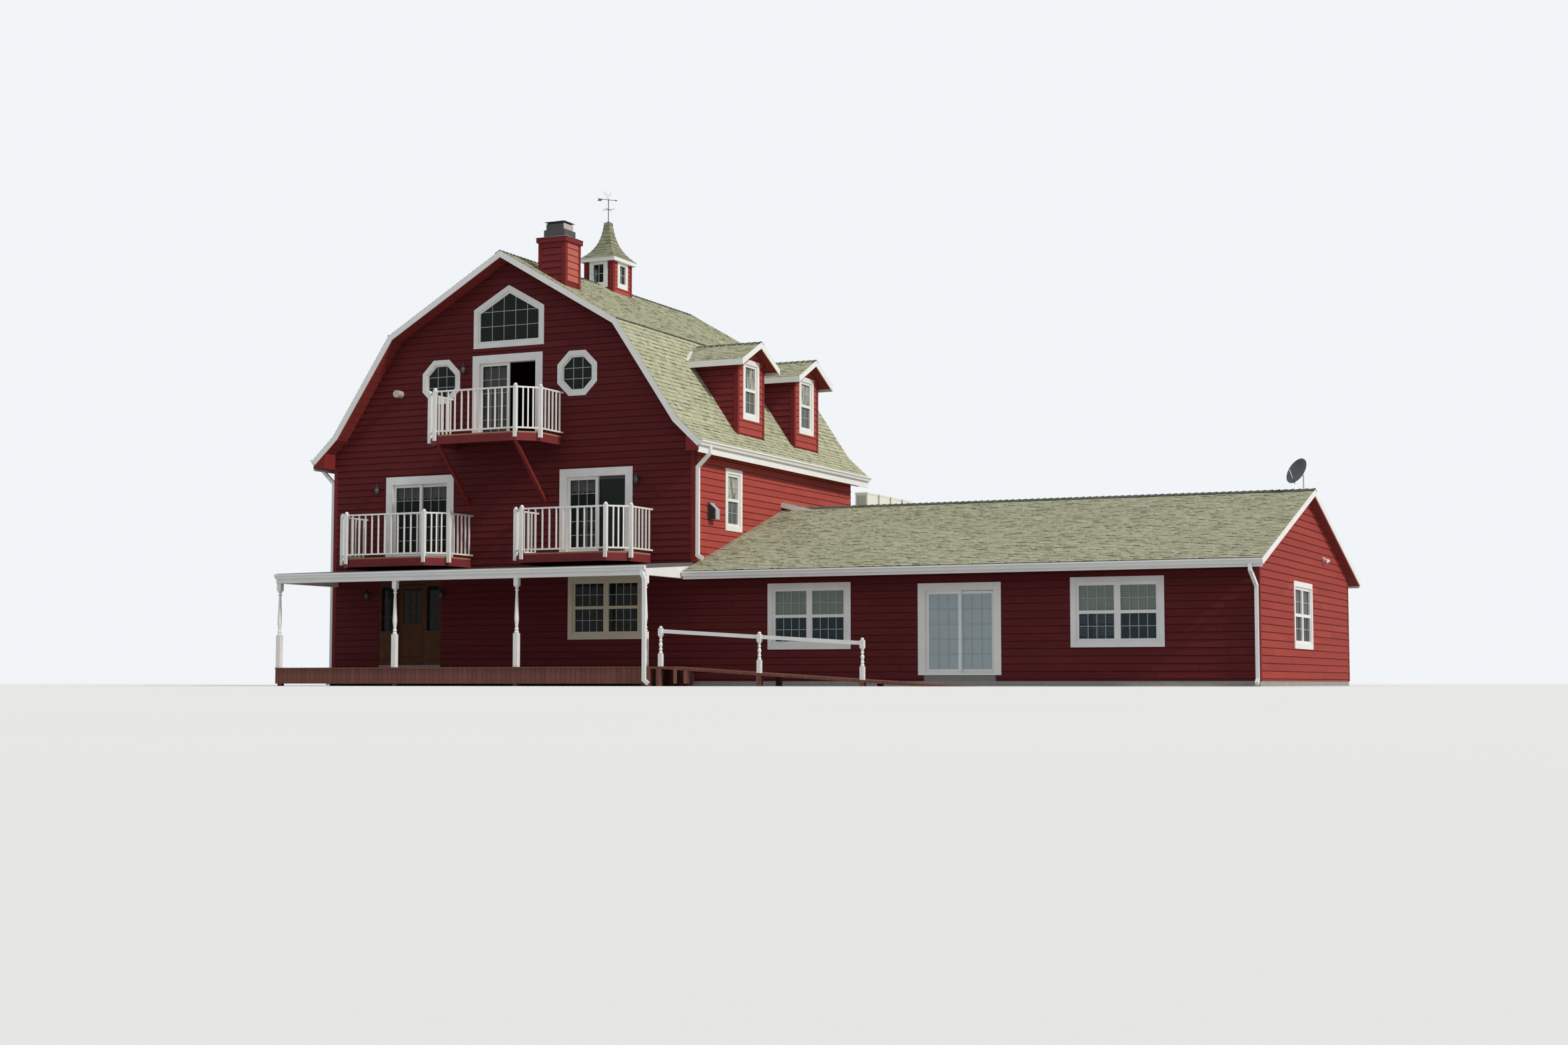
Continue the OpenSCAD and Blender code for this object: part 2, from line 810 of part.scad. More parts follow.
dormer_ridge_z = attic_floor_z + dormer_ridge;
dormer_slope = 0.5;
dormer_roof_t = 100;
dormer_half = dormer_w/2 + dormer_over;
dormer_front = dormer_x + dormer_over;
dormer_wall_top = dormer_ridge_z - dormer_slope*dormer_w/2 - dormer_roof_t;

// Two straight slopes that meet at a ridge at height top, reaching out by e to each side
module chevron(e, top, slope, t) {
  polygon([
    [0, top], [e, top - slope*e], [e, top - slope*e - t], [0, top - t],
    [-e, top - slope*e - t], [-e, top - slope*e]
  ]);
}

// Cheeks and gabled front of one dormer on the right slope
module dormer_body(y) {
  difference() {
    translate([0, y, 0]) {
      for (edge = [-dormer_w/2, dormer_w/2 - dormer_t])
        box([kink.x, edge, attic_floor_z],
          [dormer_x - dormer_t - seat, edge + dormer_t, dormer_wall_top]);
      sideways(dormer_x - dormer_t, dormer_t)
        polygon([
          [-dormer_w/2, attic_floor_z], [dormer_w/2, attic_floor_z],
          [dormer_w/2, dormer_wall_top], [0, dormer_ridge_z - dormer_roof_t],
          [-dormer_w/2, dormer_wall_top]
        ]);
    }
    main_mass();
    for (w = dormer_windows)
      sideways(dormer_x - 2*dormer_t, 3*dormer_t)
        window_hole(w);
  }
}

// Shape along a dormer's roof from x0 to x1, cut where it meets the main roof
module dormer_along(y, x0, x1) {
  difference() {
    translate([0, y, 0])
      sideways(x0, x1 - x0)
        children();
    main_mass();
  }
}

// Gabled roof of one dormer on the right slope
module dormer_top(y) {
  dormer_along(y, kink.x - 600, dormer_front - board_t)
    chevron(dormer_half, dormer_ridge_z, dormer_slope, dormer_roof_t);
}

module dormer_rake(y) {
  dormer_along(y, dormer_front - board_t, dormer_front)
    chevron(dormer_half + board_t, dormer_ridge_z, dormer_slope, dormer_board_h);
}

module dormer_fascias(y) {
  top = dormer_ridge_z - dormer_slope*(dormer_half + board_t);
  for (edge = [-dormer_half - board_t, dormer_half])
    dormer_along(y, kink.x - 600, dormer_front - board_t - seat)
      rect([edge, top - dormer_board_h], [edge + board_t, top]);
}

module dormer_walls() {
  color(barn_red)
    for (side = [0, 1], y = dormer_ys)
      mirror([side, 0, 0])
        dormer_body(y);
}

module dormer_roofs() {
  color(shingle)
    for (side = [0, 1], y = dormer_ys)
      mirror([side, 0, 0])
        dormer_top(y);
}

// Chimney, cupola and weathervane

chimney_x = 850;
chimney_y = front_y + 80;
chimney_top = ridge_z + chimney_rise;
chimney_band = 120;

module chimney() {
  color(barn_red)
    difference() {
      union() {
        box([chimney_x, chimney_y, kink.y],
          [chimney_x + chimney_w, chimney_y + chimney_d, chimney_top]);
        box([chimney_x - 60, chimney_y - 60, chimney_top - chimney_band],
          [chimney_x + chimney_w + 60, chimney_y + chimney_d + 60, chimney_top]);
      }
      main_mass();
    }
}

// Half outline of the cap at half width w: a stepped shroud, or the sloped cover above it
function shroud(w) = [[w, 0], [w, 230], [w - 45, 240], [w - 45, 385], [w - 80, 420], [w - 80, 435]];
function cover(w) = [[w, 435 + seat], [w, 448], [0, 500]];

module cap_side(half) {
  polygon(concat(half, [for (i = [len(half) - 1:-1:0]) if (half[i].x > 0) [-half[i].x, half[i].y]]));
}

module chimney_cap() {
  w = chimney_w/2 - 80;
  d = chimney_d/2 - 90;
  color([0.25, 0.26, 0.27])
    translate([chimney_x + chimney_w/2, chimney_y + chimney_d/2, chimney_top]) {
      intersection() {
        upright(-chimney_d, 2*chimney_d)
          cap_side(shroud(w));
        sideways(-chimney_w, 2*chimney_w)
          cap_side(shroud(d));
      }
      intersection() {
        upright(-chimney_d, 2*chimney_d)
          cap_side(cover(w - 15));
        sideways(-chimney_w, 2*chimney_w)
          cap_side(cover(d - 15));
      }
    }
}

cupola_mid = [0, front_y + cupola_y];
cupola_top = ridge_z + cupola_rise;
cupola_wall = 60;
cupola_over = 110;
cupola_win_w = 400;
cupola_win_h = 560;

// Children on each face of the cupola, below its eave
module at_cupola() {
  difference() {
    for (turn = [0:90:270], across = [turn%180 == 0])
      translate([cupola_mid.x, cupola_mid.y, cupola_top])
        rotate([0, 0, turn])
          translate([0, -(across ? cupola_d : cupola_w)/2, 0]) {
            $across = across;
            children();
          }
    main_mass();
  }
}

// Wall on one face of the cupola, the side walls between the other two
module cupola_panel() {
  w = $across ? cupola_w/2 : cupola_d/2 - cupola_wall - seat;
  difference() {
    box([-w, 0, kink.y - cupola_top], [w, cupola_wall, 0]);
    box([-cupola_win_w/2, -1, -cupola_win_h - 60], [cupola_win_w/2, cupola_wall + 1, -60]);
  }
}

module cupola() {
  color(barn_red)
    at_cupola()
      cupola_panel();
}

cornice_half = [cupola_w/2 + cupola_over, cupola_d/2 + cupola_over];

module cupola_cornice() {
  translate([cupola_mid.x, cupola_mid.y, cupola_top])
    box([-cornice_half.x, -cornice_half.y, 0], [cornice_half.x, cornice_half.y, cornice_h]);
}

// Concave four-sided spire above the white board, as rings of four corners
module cupola_roof() {
  steps = 12;
  tip = 50;
  spire_h = cupola_roof_h - cornice_h;
  rings = [for (i = [0:steps], c = [[-1, -1], [1, -1], [1, 1], [-1, 1]], bell = [exp(-2.7*i/steps)])
    [c.x*(tip + (cornice_half.x - tip)*bell), c.y*(tip + (cornice_half.y - tip)*bell),
      spire_h*i/steps]];
  sides = [for (i = [0:steps - 1], k = [0:3])
    [4*i + k, 4*i + 4 + k, 4*i + 4 + (k + 1)%4, 4*i + (k + 1)%4]];
  color(shingle)
    translate([cupola_mid.x, cupola_mid.y, cupola_top + cornice_h])
      polyhedron(
        points = rings,
        faces = concat(
          [[0, 1, 2, 3]], sides, [[4*steps + 3, 4*steps + 2, 4*steps + 1, 4*steps]]
        )
      );
}

mast_z = cupola_top + cupola_roof_h;
mast_h = 620;
mast_r = 12;
spindle_r = 6;
spindle_h = 60;
hub_r = 16;
arm_l = 190;

module weathervane_mast() {
  color([0.2, 0.2, 0.2])
    translate([cupola_mid.x, cupola_mid.y, mast_z]) {
      cylinder(r = 40, h = 30, $fn = round_fn);
      cylinder(r = mast_r, h = mast_h, $fn = round_fn);
      cylinder(r = spindle_r, h = mast_h + spindle_h, $fn = round_fn);
      for (turn = [0, 90])
        rotate([0, 0, turn])
          translate([-arm_l, -5, 380])
            cube([2*arm_l, 10, 10]);
    }
}

// Arrow and rooster, which turn together on the mast's spindle
module weathervane_arrow() {
  hub_z = mast_z + mast_h + 6;
  color([0.9, 0.9, 0.9])
    translate([cupola_mid.x, cupola_mid.y, hub_z])
      rotate([0, 0, vane_heading]) {
        difference() {
          cylinder(r = hub_r, h = spindle_h + 10, $fn = round_fn);
          translate([0, 0, -1])
            cylinder(r = spindle_r + 1, h = spindle_h - 5, $fn = round_fn);
        }
        upright(-4, 8)
          polygon([
            [-335, -10], [-290, 40], [-335, 90], [-215, 90], [-190, 48], [2 - hub_r, 48],
            [2 - hub_r, 32], [-190, 32], [-215, -10]
          ]);
        upright(-4, 8)
          polygon([
            [hub_r - 2, 32], [hub_r - 2, 48], [200, 48], [200, 70], [270, 40], [200, 10], [200, 32]
          ]);
        upright(-4, 8)
          polygon([
            [-12, 60], [12, 60], [45, 110], [75, 165], [95, 225], [75, 235], [70, 290], [40, 265],
            [25, 215], [-15, 185], [-45, 215], [-75, 270], [-120, 290], [-160, 255], [-165, 205],
            [-140, 220], [-110, 190], [-95, 140], [-60, 95]
          ]);
      }
}

// Wing

wing_mid_y = front_y + wing_d/2;
wing_slope = (wing_ridge_z - wing_eave_z)/(wing_d/2 + wing_eave_over);
wing_plumb = roof_t/cos(atan(wing_slope));

// Outline of the wing's roof in Y and Z, lowered by t, down to the given foot
module wing_profile(t, foot) {
  polygon([
    [front_y - wing_eave_over, wing_eave_z - t], [wing_mid_y, wing_ridge_z - t],
    [wing_back_y + wing_eave_over, wing_eave_z - t],
    [wing_back_y + wing_eave_over, foot], [front_y - wing_eave_over, foot]
  ]);
}

module under_wing_roof() {
  sideways(half_w, wing_l + wing_rake_over)
    wing_profile(wing_plumb, wing_found_h);
}

module wing_front(x0, x1, z0) {
  intersection() {
    upright(front_y, wall_t)
      difference() {
        rect([x0, z0], [x1, wing_ridge_z]);
        for (w = wing_front_windows)
          window_hole(w);
      }
    under_wing_roof();
  }
}

module wing_walls_beside() {
  color(barn_red) {
    wing_front(half_w, patio_left, wing_found_h);
    wing_front(patio_right, wing_x, wing_found_h);
  }
}

module wing_wall_over() {
  color(barn_red)
    wing_front(patio_left, patio_right, wing_floor_z + slider_h);
}

module wing_back_wall() {
  color(barn_red)
    intersection() {
      union() {
        upright(wing_back_y - wall_t, wall_t)
          difference() {
            rect([half_w, wing_found_h], [wing_x, wing_ridge_z]);
            for (w = wing_back_windows)
              mirror([1, 0])
                window_hole(w);
          }
        box([half_w, back_y, wing_found_h],
          [half_w + wall_t, wing_back_y - wall_t - seat, wing_ridge_z]);
      }
      under_wing_roof();
    }
}

module wing_end_wall() {
  color(barn_red)
    intersection() {
      sideways(wing_x - wall_t, wall_t)
        difference() {
          rect([front_y + wall_t, wing_found_h], [wing_back_y - wall_t, wing_ridge_z]);
          for (w = wing_end_windows)
            window_hole(w);
        }
      under_wing_roof();
    }
}

module wing_roof_side() {
  translate([wing_mid_y, 0])
    chevron(wing_d/2 + wing_eave_over, wing_ridge_z, wing_slope, wing_plumb);
}

module wing_roof() {
  color(shingle)
    sideways(half_w, wing_l + wing_rake_over - board_t)
      wing_roof_side();
}

module wing_rakes() {
  sideways(wing_x + wing_rake_over - board_t, board_t)
    wing_roof_side();
}

module wing_fascias() {
  low = wing_eave_z - wing_plumb;
  for (y = [front_y - wing_eave_over, wing_back_y + wing_eave_over - board_t])
    box([half_w, y, low - 45], [wing_x + wing_rake_over - board_t, y + board_t, low - seat]);
}

// Low roof that falls to the right over the wing's rear slope, with its walls and the condenser units

low_front_y = 130;
low_back_y = wing_back_y + 200;
low_x = half_w + low_roof_l;
low_slope = 0.25;
low_wall_x = low_x - 200;

module above_wing() {
  difference() {
    children();
    sideways(0, 2*wing_x)
      wing_profile(0, 0);
  }
}

// Part of the low roof from y0 to y1
module low_slab(y0, y1) {
  end_z = low_roof_z - low_slope*low_roof_l;
  above_wing()
    upright(y0, y1 - y0)
      polygon([
        [half_w, low_roof_z], [low_x, end_z], [low_x, end_z - roof_t], [half_w, low_roof_z - roof_t]
      ]);
}

module low_roof() {
  color(shingle)
    low_slab(low_front_y + board_t, low_back_y - board_t);
}

module low_roof_rake() {
  for (y = [low_front_y, low_back_y - board_t])
    low_slab(y, y + board_t);
}

// Wall under the low roof between two corners of its plan
module low_wall(low, high) {
  above_wing()
    intersection() {
      box([low.x, low.y, wing_eave_z], [high.x, high.y, low_roof_z]);
      upright(low.y - 1, high.y - low.y + 2)
        polygon([
          [half_w - 1, 0], [half_w - 1, low_roof_z - roof_t], [half_w, low_roof_z - roof_t],
          [low_x, low_roof_z - low_slope*low_roof_l - roof_t], [low_x, 0]
        ]);
    }
}

module low_roof_walls() {
  y0 = low_front_y + 100;
  y1 = wing_back_y - wall_t;
  end_x = low_wall_x - wall_t;
  color(barn_red) {
    low_wall([half_w, y0], [low_wall_x, y0 + wall_t]);
    low_wall([end_x, wing_mid_y + wall_t], [low_wall_x, y1 - seat]);
    low_wall([half_w, y1], [low_wall_x, wing_back_y]);
    low_wall([half_w, back_y], [half_w + wall_t, y1 - seat]);
  }
}

module condenser_units() {
  x = half_w + 1390;
  first_y = 2070;
  unit_w = 360;
  rail_w = 50;
  base_z = low_roof_z - low_slope*(x - half_w) + 20;
  color([0.85, 0.83, 0.75])
    for (i = [0:unit_count - 1])
      translate([x, first_y + i*unit_pitch, 0]) {
        box([0, 0, base_z], [unit_w, unit_d, base_z + unit_h]);
        for (y = [80, unit_d - 80 - rail_w])
          upright(y, rail_w)
            polygon([
              [20, base_z - seat], [20, base_z - 19 - low_slope*20],
              [unit_w - 20, base_z - 19 - low_slope*(unit_w - 20)], [unit_w - 20, base_z - seat]
            ]);
      }
}

// Shallow dish with its arm on a mast at the wing's ridge, facing ahead and to the left
module satellite_dish() {
  focus = 230;
  r = dish_w/2;
  rim = [for (i = [0:4]) [r*i/4, pow(r*i/4, 2)/(4*focus)]];
  color([0.30, 0.31, 0.33]) {
    translate([wing_x - 40, wing_mid_y, wing_ridge_z]) {
      cylinder(r = 20, h = 380, $fn = round_fn);
      translate([0, 0, 360])
        rotate([0, 0, 230])
          rotate([0, 65, 0]) {
            cylinder(r = 25, h = 113, $fn = round_fn);
            translate([0, 0, 110]) {
              rotate_extrude($fn = 2*round_fn)
                polygon(concat(rim, [for (i = [4:-1:0]) rim[i] + [0, 6]]));
              translate([r - 20, 0, 40])
                rotate([0, -40, 0])
                  cylinder(r = 10, h = 380, $fn = round_fn);
            }
          }
    }
  }
}

// Porch and ramp

porch_half = half_w - 20;
porch_front_y = front_y - porch_d;
post_y = porch_front_y + 90;
post_xs = [for (i = [0:3]) (porch_half - 60)*(-1 + 2*i/3)];
porch_slope = (porch_wall_z - porch_front_z)/porch_d;
beam_w = 140;

deck_board = 40;
landing_t = 60;
pier_w = 120;

module porch_deck() {
  color(deck_red)
    box([-porch_half, porch_front_y, porch_z - deck_board], [porch_half, front_y, porch_z]);
}

// Skirt boards and square piers under the porch deck and the ramp
module deck_frame() {
  rim = 40;
  top = porch_z - deck_board - seat;
  skirt_y = porch_front_y + 20;
  pier_in = rim + pier_w/2 + seat;
  color(deck_red) {
    box([-porch_half, skirt_y, 60], [porch_half, skirt_y + rim, top]);
    for (x = [-porch_half, porch_half - rim])
      box([x, skirt_y + rim + seat, 60], [x + rim, front_y, top]);
    for (i = [0:3], y = [skirt_y + pier_in, front_y - 150])
      translate([(porch_half - pier_in)*(-1 + 2*i/3), y, top/2])
        cube([pier_w, pier_w, top], center = true);
    for (x = [ramp_x0 + pier_w/2 + 1, ramp_x1 - pier_w/2, ramp_post_xs[1], ramp_post_xs[2]],
       y = [pier_w/2, ramp_w - pier_w/2], pier_h = [ramp_z(x + pier_w/2) - landing_t - seat])
      translate([x, ramp_y + y, pier_h/2])
        cube([pier_w, pier_w, pier_h], center = true);
  }
}

// Turned shaft from z0 to z1 for a square post of half width r, with rings at both ends
module turned_shaft(r, z0, z1) {
  h = z1 - z0;
  rings = [
    [0.72, 0], [0.95, 15], [0.95, 40], [0.62, 55], [0.62, 75], [0.85, 90], [0.85, 115], [0.55, 140],
    [0.92, 140 + 0.17*h], [0.88, 140 + 0.24*h], [0.5, h - 150], [0.5, h - 125], [0.82, h - 110],
    [0.82, h - 90], [0.5, h - 75], [0.5, h - 55], [0.95, h - 25], [0.72, h]
  ];
  translate([0, 0, z0])
    rotate_extrude($fn = round_fn)
      polygon(concat([[0, -1], [0.72*r, -1]], [for (p = rings) [p[0]*r, p[1]]],
              [[0.72*r, h + 1], [0, h + 1]]));
}

// Turned post between square ends, its foot at the origin
module turned_post(h) {
  foot_h = 0.38*h;
  head_z = 0.91*h;
  r = post_w/2;
  color(trim_white) {
    box([-r, -r, 0], [r, r, foot_h]);
    box([-r, -r, head_z], [r, r, h]);
    turned_shaft(r, foot_h, head_z);
  }
}

module porch_posts() {
  for (x = post_xs)
    translate([x, post_y, porch_z])
      turned_post(porch_beam_z - porch_z);
}

// Beam along the posts with its two side boards
module porch_beam() {
  color(trim_white)
    difference() {
      union() {
        box([-porch_half, porch_front_y, porch_beam_z],
          [porch_half, porch_front_y + beam_w, porch_wall_z]);
        for (x = [-porch_half, porch_half - beam_w])
          box([x, porch_front_y, porch_beam_z], [x + beam_w, front_y, porch_wall_z]);
      }
      sideways(-main_w, 2*main_w)
        porch_profile(porch_roof_t + seat, porch_wall_z + 500);
    }
}

// Outline of the space above the porch roof's top, lowered by t, up to the given height
module porch_profile(t, top) {
  polygon([
    [porch_front_y - 500, porch_front_z - 500*porch_slope - t],
    [front_y + 500, porch_wall_z + 500*porch_slope - t],
    [front_y + 500, top], [porch_front_y - 500, top]
  ]);
}

module porch_roof() {
  color([0.35, 0.33, 0.32])
    sideways(-porch_half, 2*porch_half)
      polygon([
        [porch_front_y, porch_front_z], [porch_front_y, porch_front_z - porch_roof_t],
        [front_y, porch_wall_z - porch_roof_t], [front_y, porch_wall_z]
      ]);
}

ramp_y = porch_front_y;
ramp_x0 = porch_half;
ramp_x1 = ramp_x0 + landing_l;
ramp_x2 = ramp_x1 + ramp_run*porch_z;

// Outline of the landing and the sloping run from the ground up
module ramp_outline() {
  polygon([[ramp_x0, 0], [ramp_x0, porch_z], [ramp_x1, porch_z], [ramp_x2, 0]]);
}

// Level landing and the run that slopes from it down to the ground
module ramp() {
  low = porch_z - landing_t;
  color(deck_red) {
    box([ramp_x0 + seat, ramp_y, low], [ramp_x1, ramp_y + ramp_w, porch_z]);
    upright(ramp_y, ramp_w)
      polygon([
        [ramp_x1 + seat, low], [ramp_x1 + seat, porch_z - seat/ramp_run], [ramp_x2, 0],
        [ramp_x2 - ramp_run*landing_t, 0]
      ]);
  }
}

ramp_rail_h = 880;
ramp_post_w = 100;
ramp_post_xs = [for (i = [0:2]) ramp_x0 + 380 + i*ramp_post_gap];

function ramp_z(x) = x < ramp_x1 ? porch_z : porch_z - (x - ramp_x1)/ramp_run;

// Rail on turned posts along the front edge of the ramp
module ramp_rail() {
  y = ramp_y + ramp_post_w/2;
  r = ramp_post_w/2;
  color(trim_white)
    difference() {
      union() {
        for (x = ramp_post_xs)
          translate([x, y, ramp_z(x)]) {
            box([-r, -r, -r/ramp_run], [r, r, 300]);
            turned_shaft(r, 300, 720);
            box([-r, -r, 720], [r, r, 900]);
            translate([0, 0, 900])
              rotate_extrude($fn = round_fn)
                polygon([
                  [0, -1], [0.6*r, -1], [0.6*r, 8], [0.8*r, 18], [0.8*r, 38], [0.5*r, 52], [0, 58]
                ]);
          }
        upright(y - 20, 40)
          polygon(concat(ramp_rail_line(ramp_rail_h - 90), backwards(ramp_rail_line(ramp_rail_h))));
      }
      upright(ramp_y - 1, ramp_w)
        ramp_outline();
    }
}

function ramp_rail_line(h) = [for (x = [ramp_post_xs[0], ramp_x1, ramp_post_xs[2]]) [x, ramp_z(x) + h]];

// Balconies

balconies = [
  [-half_w + left_balcony_in, second_floor_z - 30],
  [half_w - right_balcony_in, second_floor_z - 30],
  [gable_door_x + 20, attic_floor_z - 30]
];
deck_t = 40;
rail_t = 40;

// Right half of a balcony's plan with its chamfered corner, inset by t
function balcony_plan(t) = let (w = balcony_w/2, cut = balcony_cut + t*tan(22.5)) [
  [w - cut, t - balcony_d], [w - t, cut - balcony_d], [w - t, 0]
];

module balcony_outline(t) {
  half = balcony_plan(t);
  polygon(concat(half, flip(half)));
}

module at_balconies() {
  for (b = balconies)
    translate([b[0], front_y, b[1]])
      children();
}

// Board under the edge of a balcony between the corners i and i + 1 of its outline
module rim_board(i) {
  corners = [for (t = [rail_post/2, rail_post/2 + 60]) concat(flip(balcony_plan(t)), balcony_plan(t))];
  a = corners[0][i];
  b = corners[0][i + 1];
  end = seat/2*(b - a)/norm(b - a);
  polygon([a + end, b - end, corners[1][i + 1] - end, corners[1][i] + end]);
}

// Floor boards on a rim of boards under each balcony
module balcony_decks() {
  color(barn_red)
    at_balconies() {
      translate([0, 0, -deck_t])
        linear_extrude(deck_t)
          balcony_outline(rail_post/2);
      translate([0, 0, -deck_t - rim_h])
        linear_extrude(rim_h - seat)
          for (i = [0:4])
            rim_board(i);
    }
}

// Straight panel of rails along X from a to b with n balusters, between posts
module rail_panel(a, b, n) {
  box([a, -rail_t/2, rail_h - rail_t], [b, rail_t/2, rail_h]);
  box([a, -rail_t/2, 60], [b, rail_t/2, 60 + rail_t]);
  for (i = [1:n])
    translate([a + (b - a)*i/(n + 1) - baluster/2, -baluster/2, 61])
      cube([baluster, baluster, rail_h - 62]);
}

module rail_post_at(x) {
  box([x - rail_post/2, -rail_post/2, -deck_t - rim_h*0.6],
    [x + rail_post/2, rail_post/2, rail_h + 20]);
}

// Front, corner and side rails with their posts
module balcony_rails() {
  a = balcony_w/2 - balcony_cut;
  post_gap = 0.5 + rail_post/sqrt(2);
  color(trim_white)
    at_balconies() {
      translate([0, -balcony_d, 0])
        difference() {
          union() {
            rail_panel(-a, a, front_balusters);
            rail_post_at(-a);
            rail_post_at(a);
          }
          box([-balcony_w, 0, -rim_h - deck_t - 1], [balcony_w, rail_post, 0]);
        }
      for (side = [0, 1])
        mirror([side, 0, 0]) {
          translate([a, -balcony_d, 0])
            rotate([0, 0, 45])
              rail_panel(post_gap, balcony_cut*sqrt(2) - post_gap, corner_balusters);
          translate([balcony_w/2, -balcony_d + balcony_cut, 0])
            rotate([0, 0, 90]) {
              rail_panel(rail_post/2, balcony_d - balcony_cut, side_balusters);
              rail_post_at(0);
            }
        }
    }
}

brace_w = 90;

// Struts from the wall up to the front corners of the top balcony
module balcony_braces() {
  b = balconies[2];
  top_z = b[1] - deck_t - rim_h;
  foot_z = attic_floor_z - brace_drop;
  reach = balcony_d - 140;
  color(barn_red)
    for (x = [-1150, 1150])
      sideways(b[0] + x - brace_w/2, brace_w)
        polygon([
          [front_y, foot_z], [front_y, foot_z + 110],
          [front_y - reach, top_z], [front_y - reach - 100, top_z]
        ]);
}

// Entry with sidelites and its door

post_in = 70;
leaf_left = entry_x - leaf_w/2;
leaf_right = entry_x + leaf_w/2;
leaf_top = entry_top - 70;
leaf_y = front_y + wall_t - leaf_t;
hinge_x = leaf_left + door_gap/2;
hinge_y = front_y + wall_t + 10;
hinge_zs = [for (z = [200, 1000, 1850]) ground_floor_z + z];
knuckle_r = 8;
knuckle_h = 50;
pin_gap = 0.3;

// Knuckle of a hinge with its plate towards the given side
module knuckle(side, z) {
  translate([hinge_x, hinge_y, z])
    cylinder(r = knuckle_r, h = knuckle_h, $fn = round_fn);
  box([side < 0 ? hinge_x - 40 : hinge_x, front_y + wall_t - 1, z],
    [side < 0 ? hinge_x : hinge_x + 40, front_y + wall_t + 5, z + knuckle_h]);
}

module sidelites() {
  for (x = [entry_left + post_in, leaf_right + post_in])
    rect([x, ground_floor_z + 900], [x + (entry_w - leaf_w)/2 - 2*post_in, leaf_top - 60]);
}

module entry_frame() {
  color(door_brown) {
    upright(front_y, wall_t)
      difference() {
        rect([entry_left, ground_floor_z], [entry_right, entry_top]);
        rect([leaf_left, ground_floor_z - 1], [leaf_right, leaf_top]);
        sidelites();
      }
    for (z = hinge_zs)
      knuckle(-1, z);
  }
}

module entry_lite() {
  rect([leaf_left + 170, ground_floor_z + 1080], [leaf_right - 170, leaf_top - 110]);
}

module entry_door() {
  color(door_brown) {
    upright(leaf_y, leaf_t)
      difference() {
        rect([leaf_left + door_gap, ground_floor_z + door_gap],
           [leaf_right - door_gap, leaf_top - door_gap]);
        entry_lite();
      }
    for (z = hinge_zs)
      knuckle(1, z + knuckle_h + pin_gap);
    translate([leaf_right - 75, leaf_y - 50, ground_floor_z + 950])
      rotate([-90, 0, 0])
        cylinder(r = 12, h = leaf_t + 100, $fn = round_fn);
    for (y = [leaf_y - 50, leaf_y + leaf_t + 50])
      translate([leaf_right - 75, y, ground_floor_z + 950])
        sphere(r = 28, $fn = round_fn);
  }
}

module entry_door_glass() {
  color(pale_glass)
    upright(leaf_y + (leaf_t - glass_t)/2, glass_t)
      entry_lite();
}

// Sliding doors

frame_w = 60;
slide_t = 40;
slide_stile = 80;

// Outline of one leaf of a sliding door, from the unit's left edge, with its pane or without
module slider_leaf(x, pane) {
  w = slider_w/2 - frame_w + slide_stile/2;
  if (pane)
    rect([x + slide_stile, frame_w + slide_stile],
       [x + w - slide_stile, slider_h - frame_w - slide_stile]);
  else
    rect([x, frame_w], [x + w, slider_h - frame_w]);
}

leaf_overlap_x = slider_w/2 - slide_stile/2;

// White frame of a sliding door with a casing of the given width, its left edge at x = 0 on the
// wall's outer face
module slider_frame(casing) {
  difference() {
    union() {
      upright(-casing_t, casing_t)
        rect([-casing, 0], [slider_w + casing, slider_h + casing]);
      upright(0, wall_t)
        rect([0, 0], [slider_w, slider_h]);
    }
    upright(-casing_t - 1, casing_t + wall_t + 2)
      rect([frame_w, frame_w], [slider_w - frame_w, slider_h - frame_w]);
  }
}

outer_track = 30;
inner_track = outer_track + slide_t + 10;

// Leaf without its pane in the track at the given depth
module track_leaf(x, track) {
  upright(track, slide_t)
    difference() {
      slider_leaf(x, false);
      slider_leaf(x, true);
    }
}

// Pane of the leaf in the track at the given depth
module track_pane(x, track) {
  upright(track + (slide_t - glass_t)/2, glass_t)
    slider_leaf(x, true);
}

module at_doors(places) {
  for (d = places)
    translate([d[0] - slider_w/2, front_y, d[1]])
      children();
}

// Sliding doors of the second floor, closed, and of the attic, slid open behind its fixed leaf
module upper_doors() {
  color(trim_white) {
    at_doors(concat(closed_doors, [attic_door_at])) {
      slider_frame(door_casing_w);
      track_leaf(frame_w, outer_track);
    }
    at_doors(closed_doors)
      track_leaf(leaf_overlap_x, inner_track);
  }
}

// Frame of the patio door, with the track that carries its sliding leaf
module patio_frame() {
  rail_y = inner_track + slide_t/2;
  color(trim_white)
    translate([patio_left, front_y, wing_floor_z]) {
      slider_frame(casing_w);
      track_leaf(frame_w, outer_track);
      box([frame_w - 1, rail_y - 6, frame_w - 1],
        [slider_w - frame_w + 1, rail_y + 6, frame_w + door_gap - pin_gap]);
    }
}

module patio_door() {
  color(trim_white)
    translate([patio_left, front_y, wing_floor_z])
      upright(inner_track, slide_t)
        difference() {
          rect([leaf_overlap_x, frame_w + door_gap],
             [slider_w - frame_w - door_gap, slider_h - frame_w - door_gap]);
          slider_leaf(leaf_overlap_x, true);
        }
}

module patio_door_glass() {
  color(pale_glass)
    translate([patio_left, front_y, wing_floor_z])
      track_pane(leaf_overlap_x, inner_track);
}

// Windows

module octagon_frame() {
  difference() {
    union() {
      upright(-casing_t, casing_t)
        octagon(octagon_w);
      upright(0, sash_t)
        octagon(octagon_hole);
    }
    upright(-casing_t - 1, casing_t + 1)
      octagon(octagon_hole - 2*lap);
    upright(-1, sash_t + 2)
      octagon(octagon_hole - 100);
  }
}

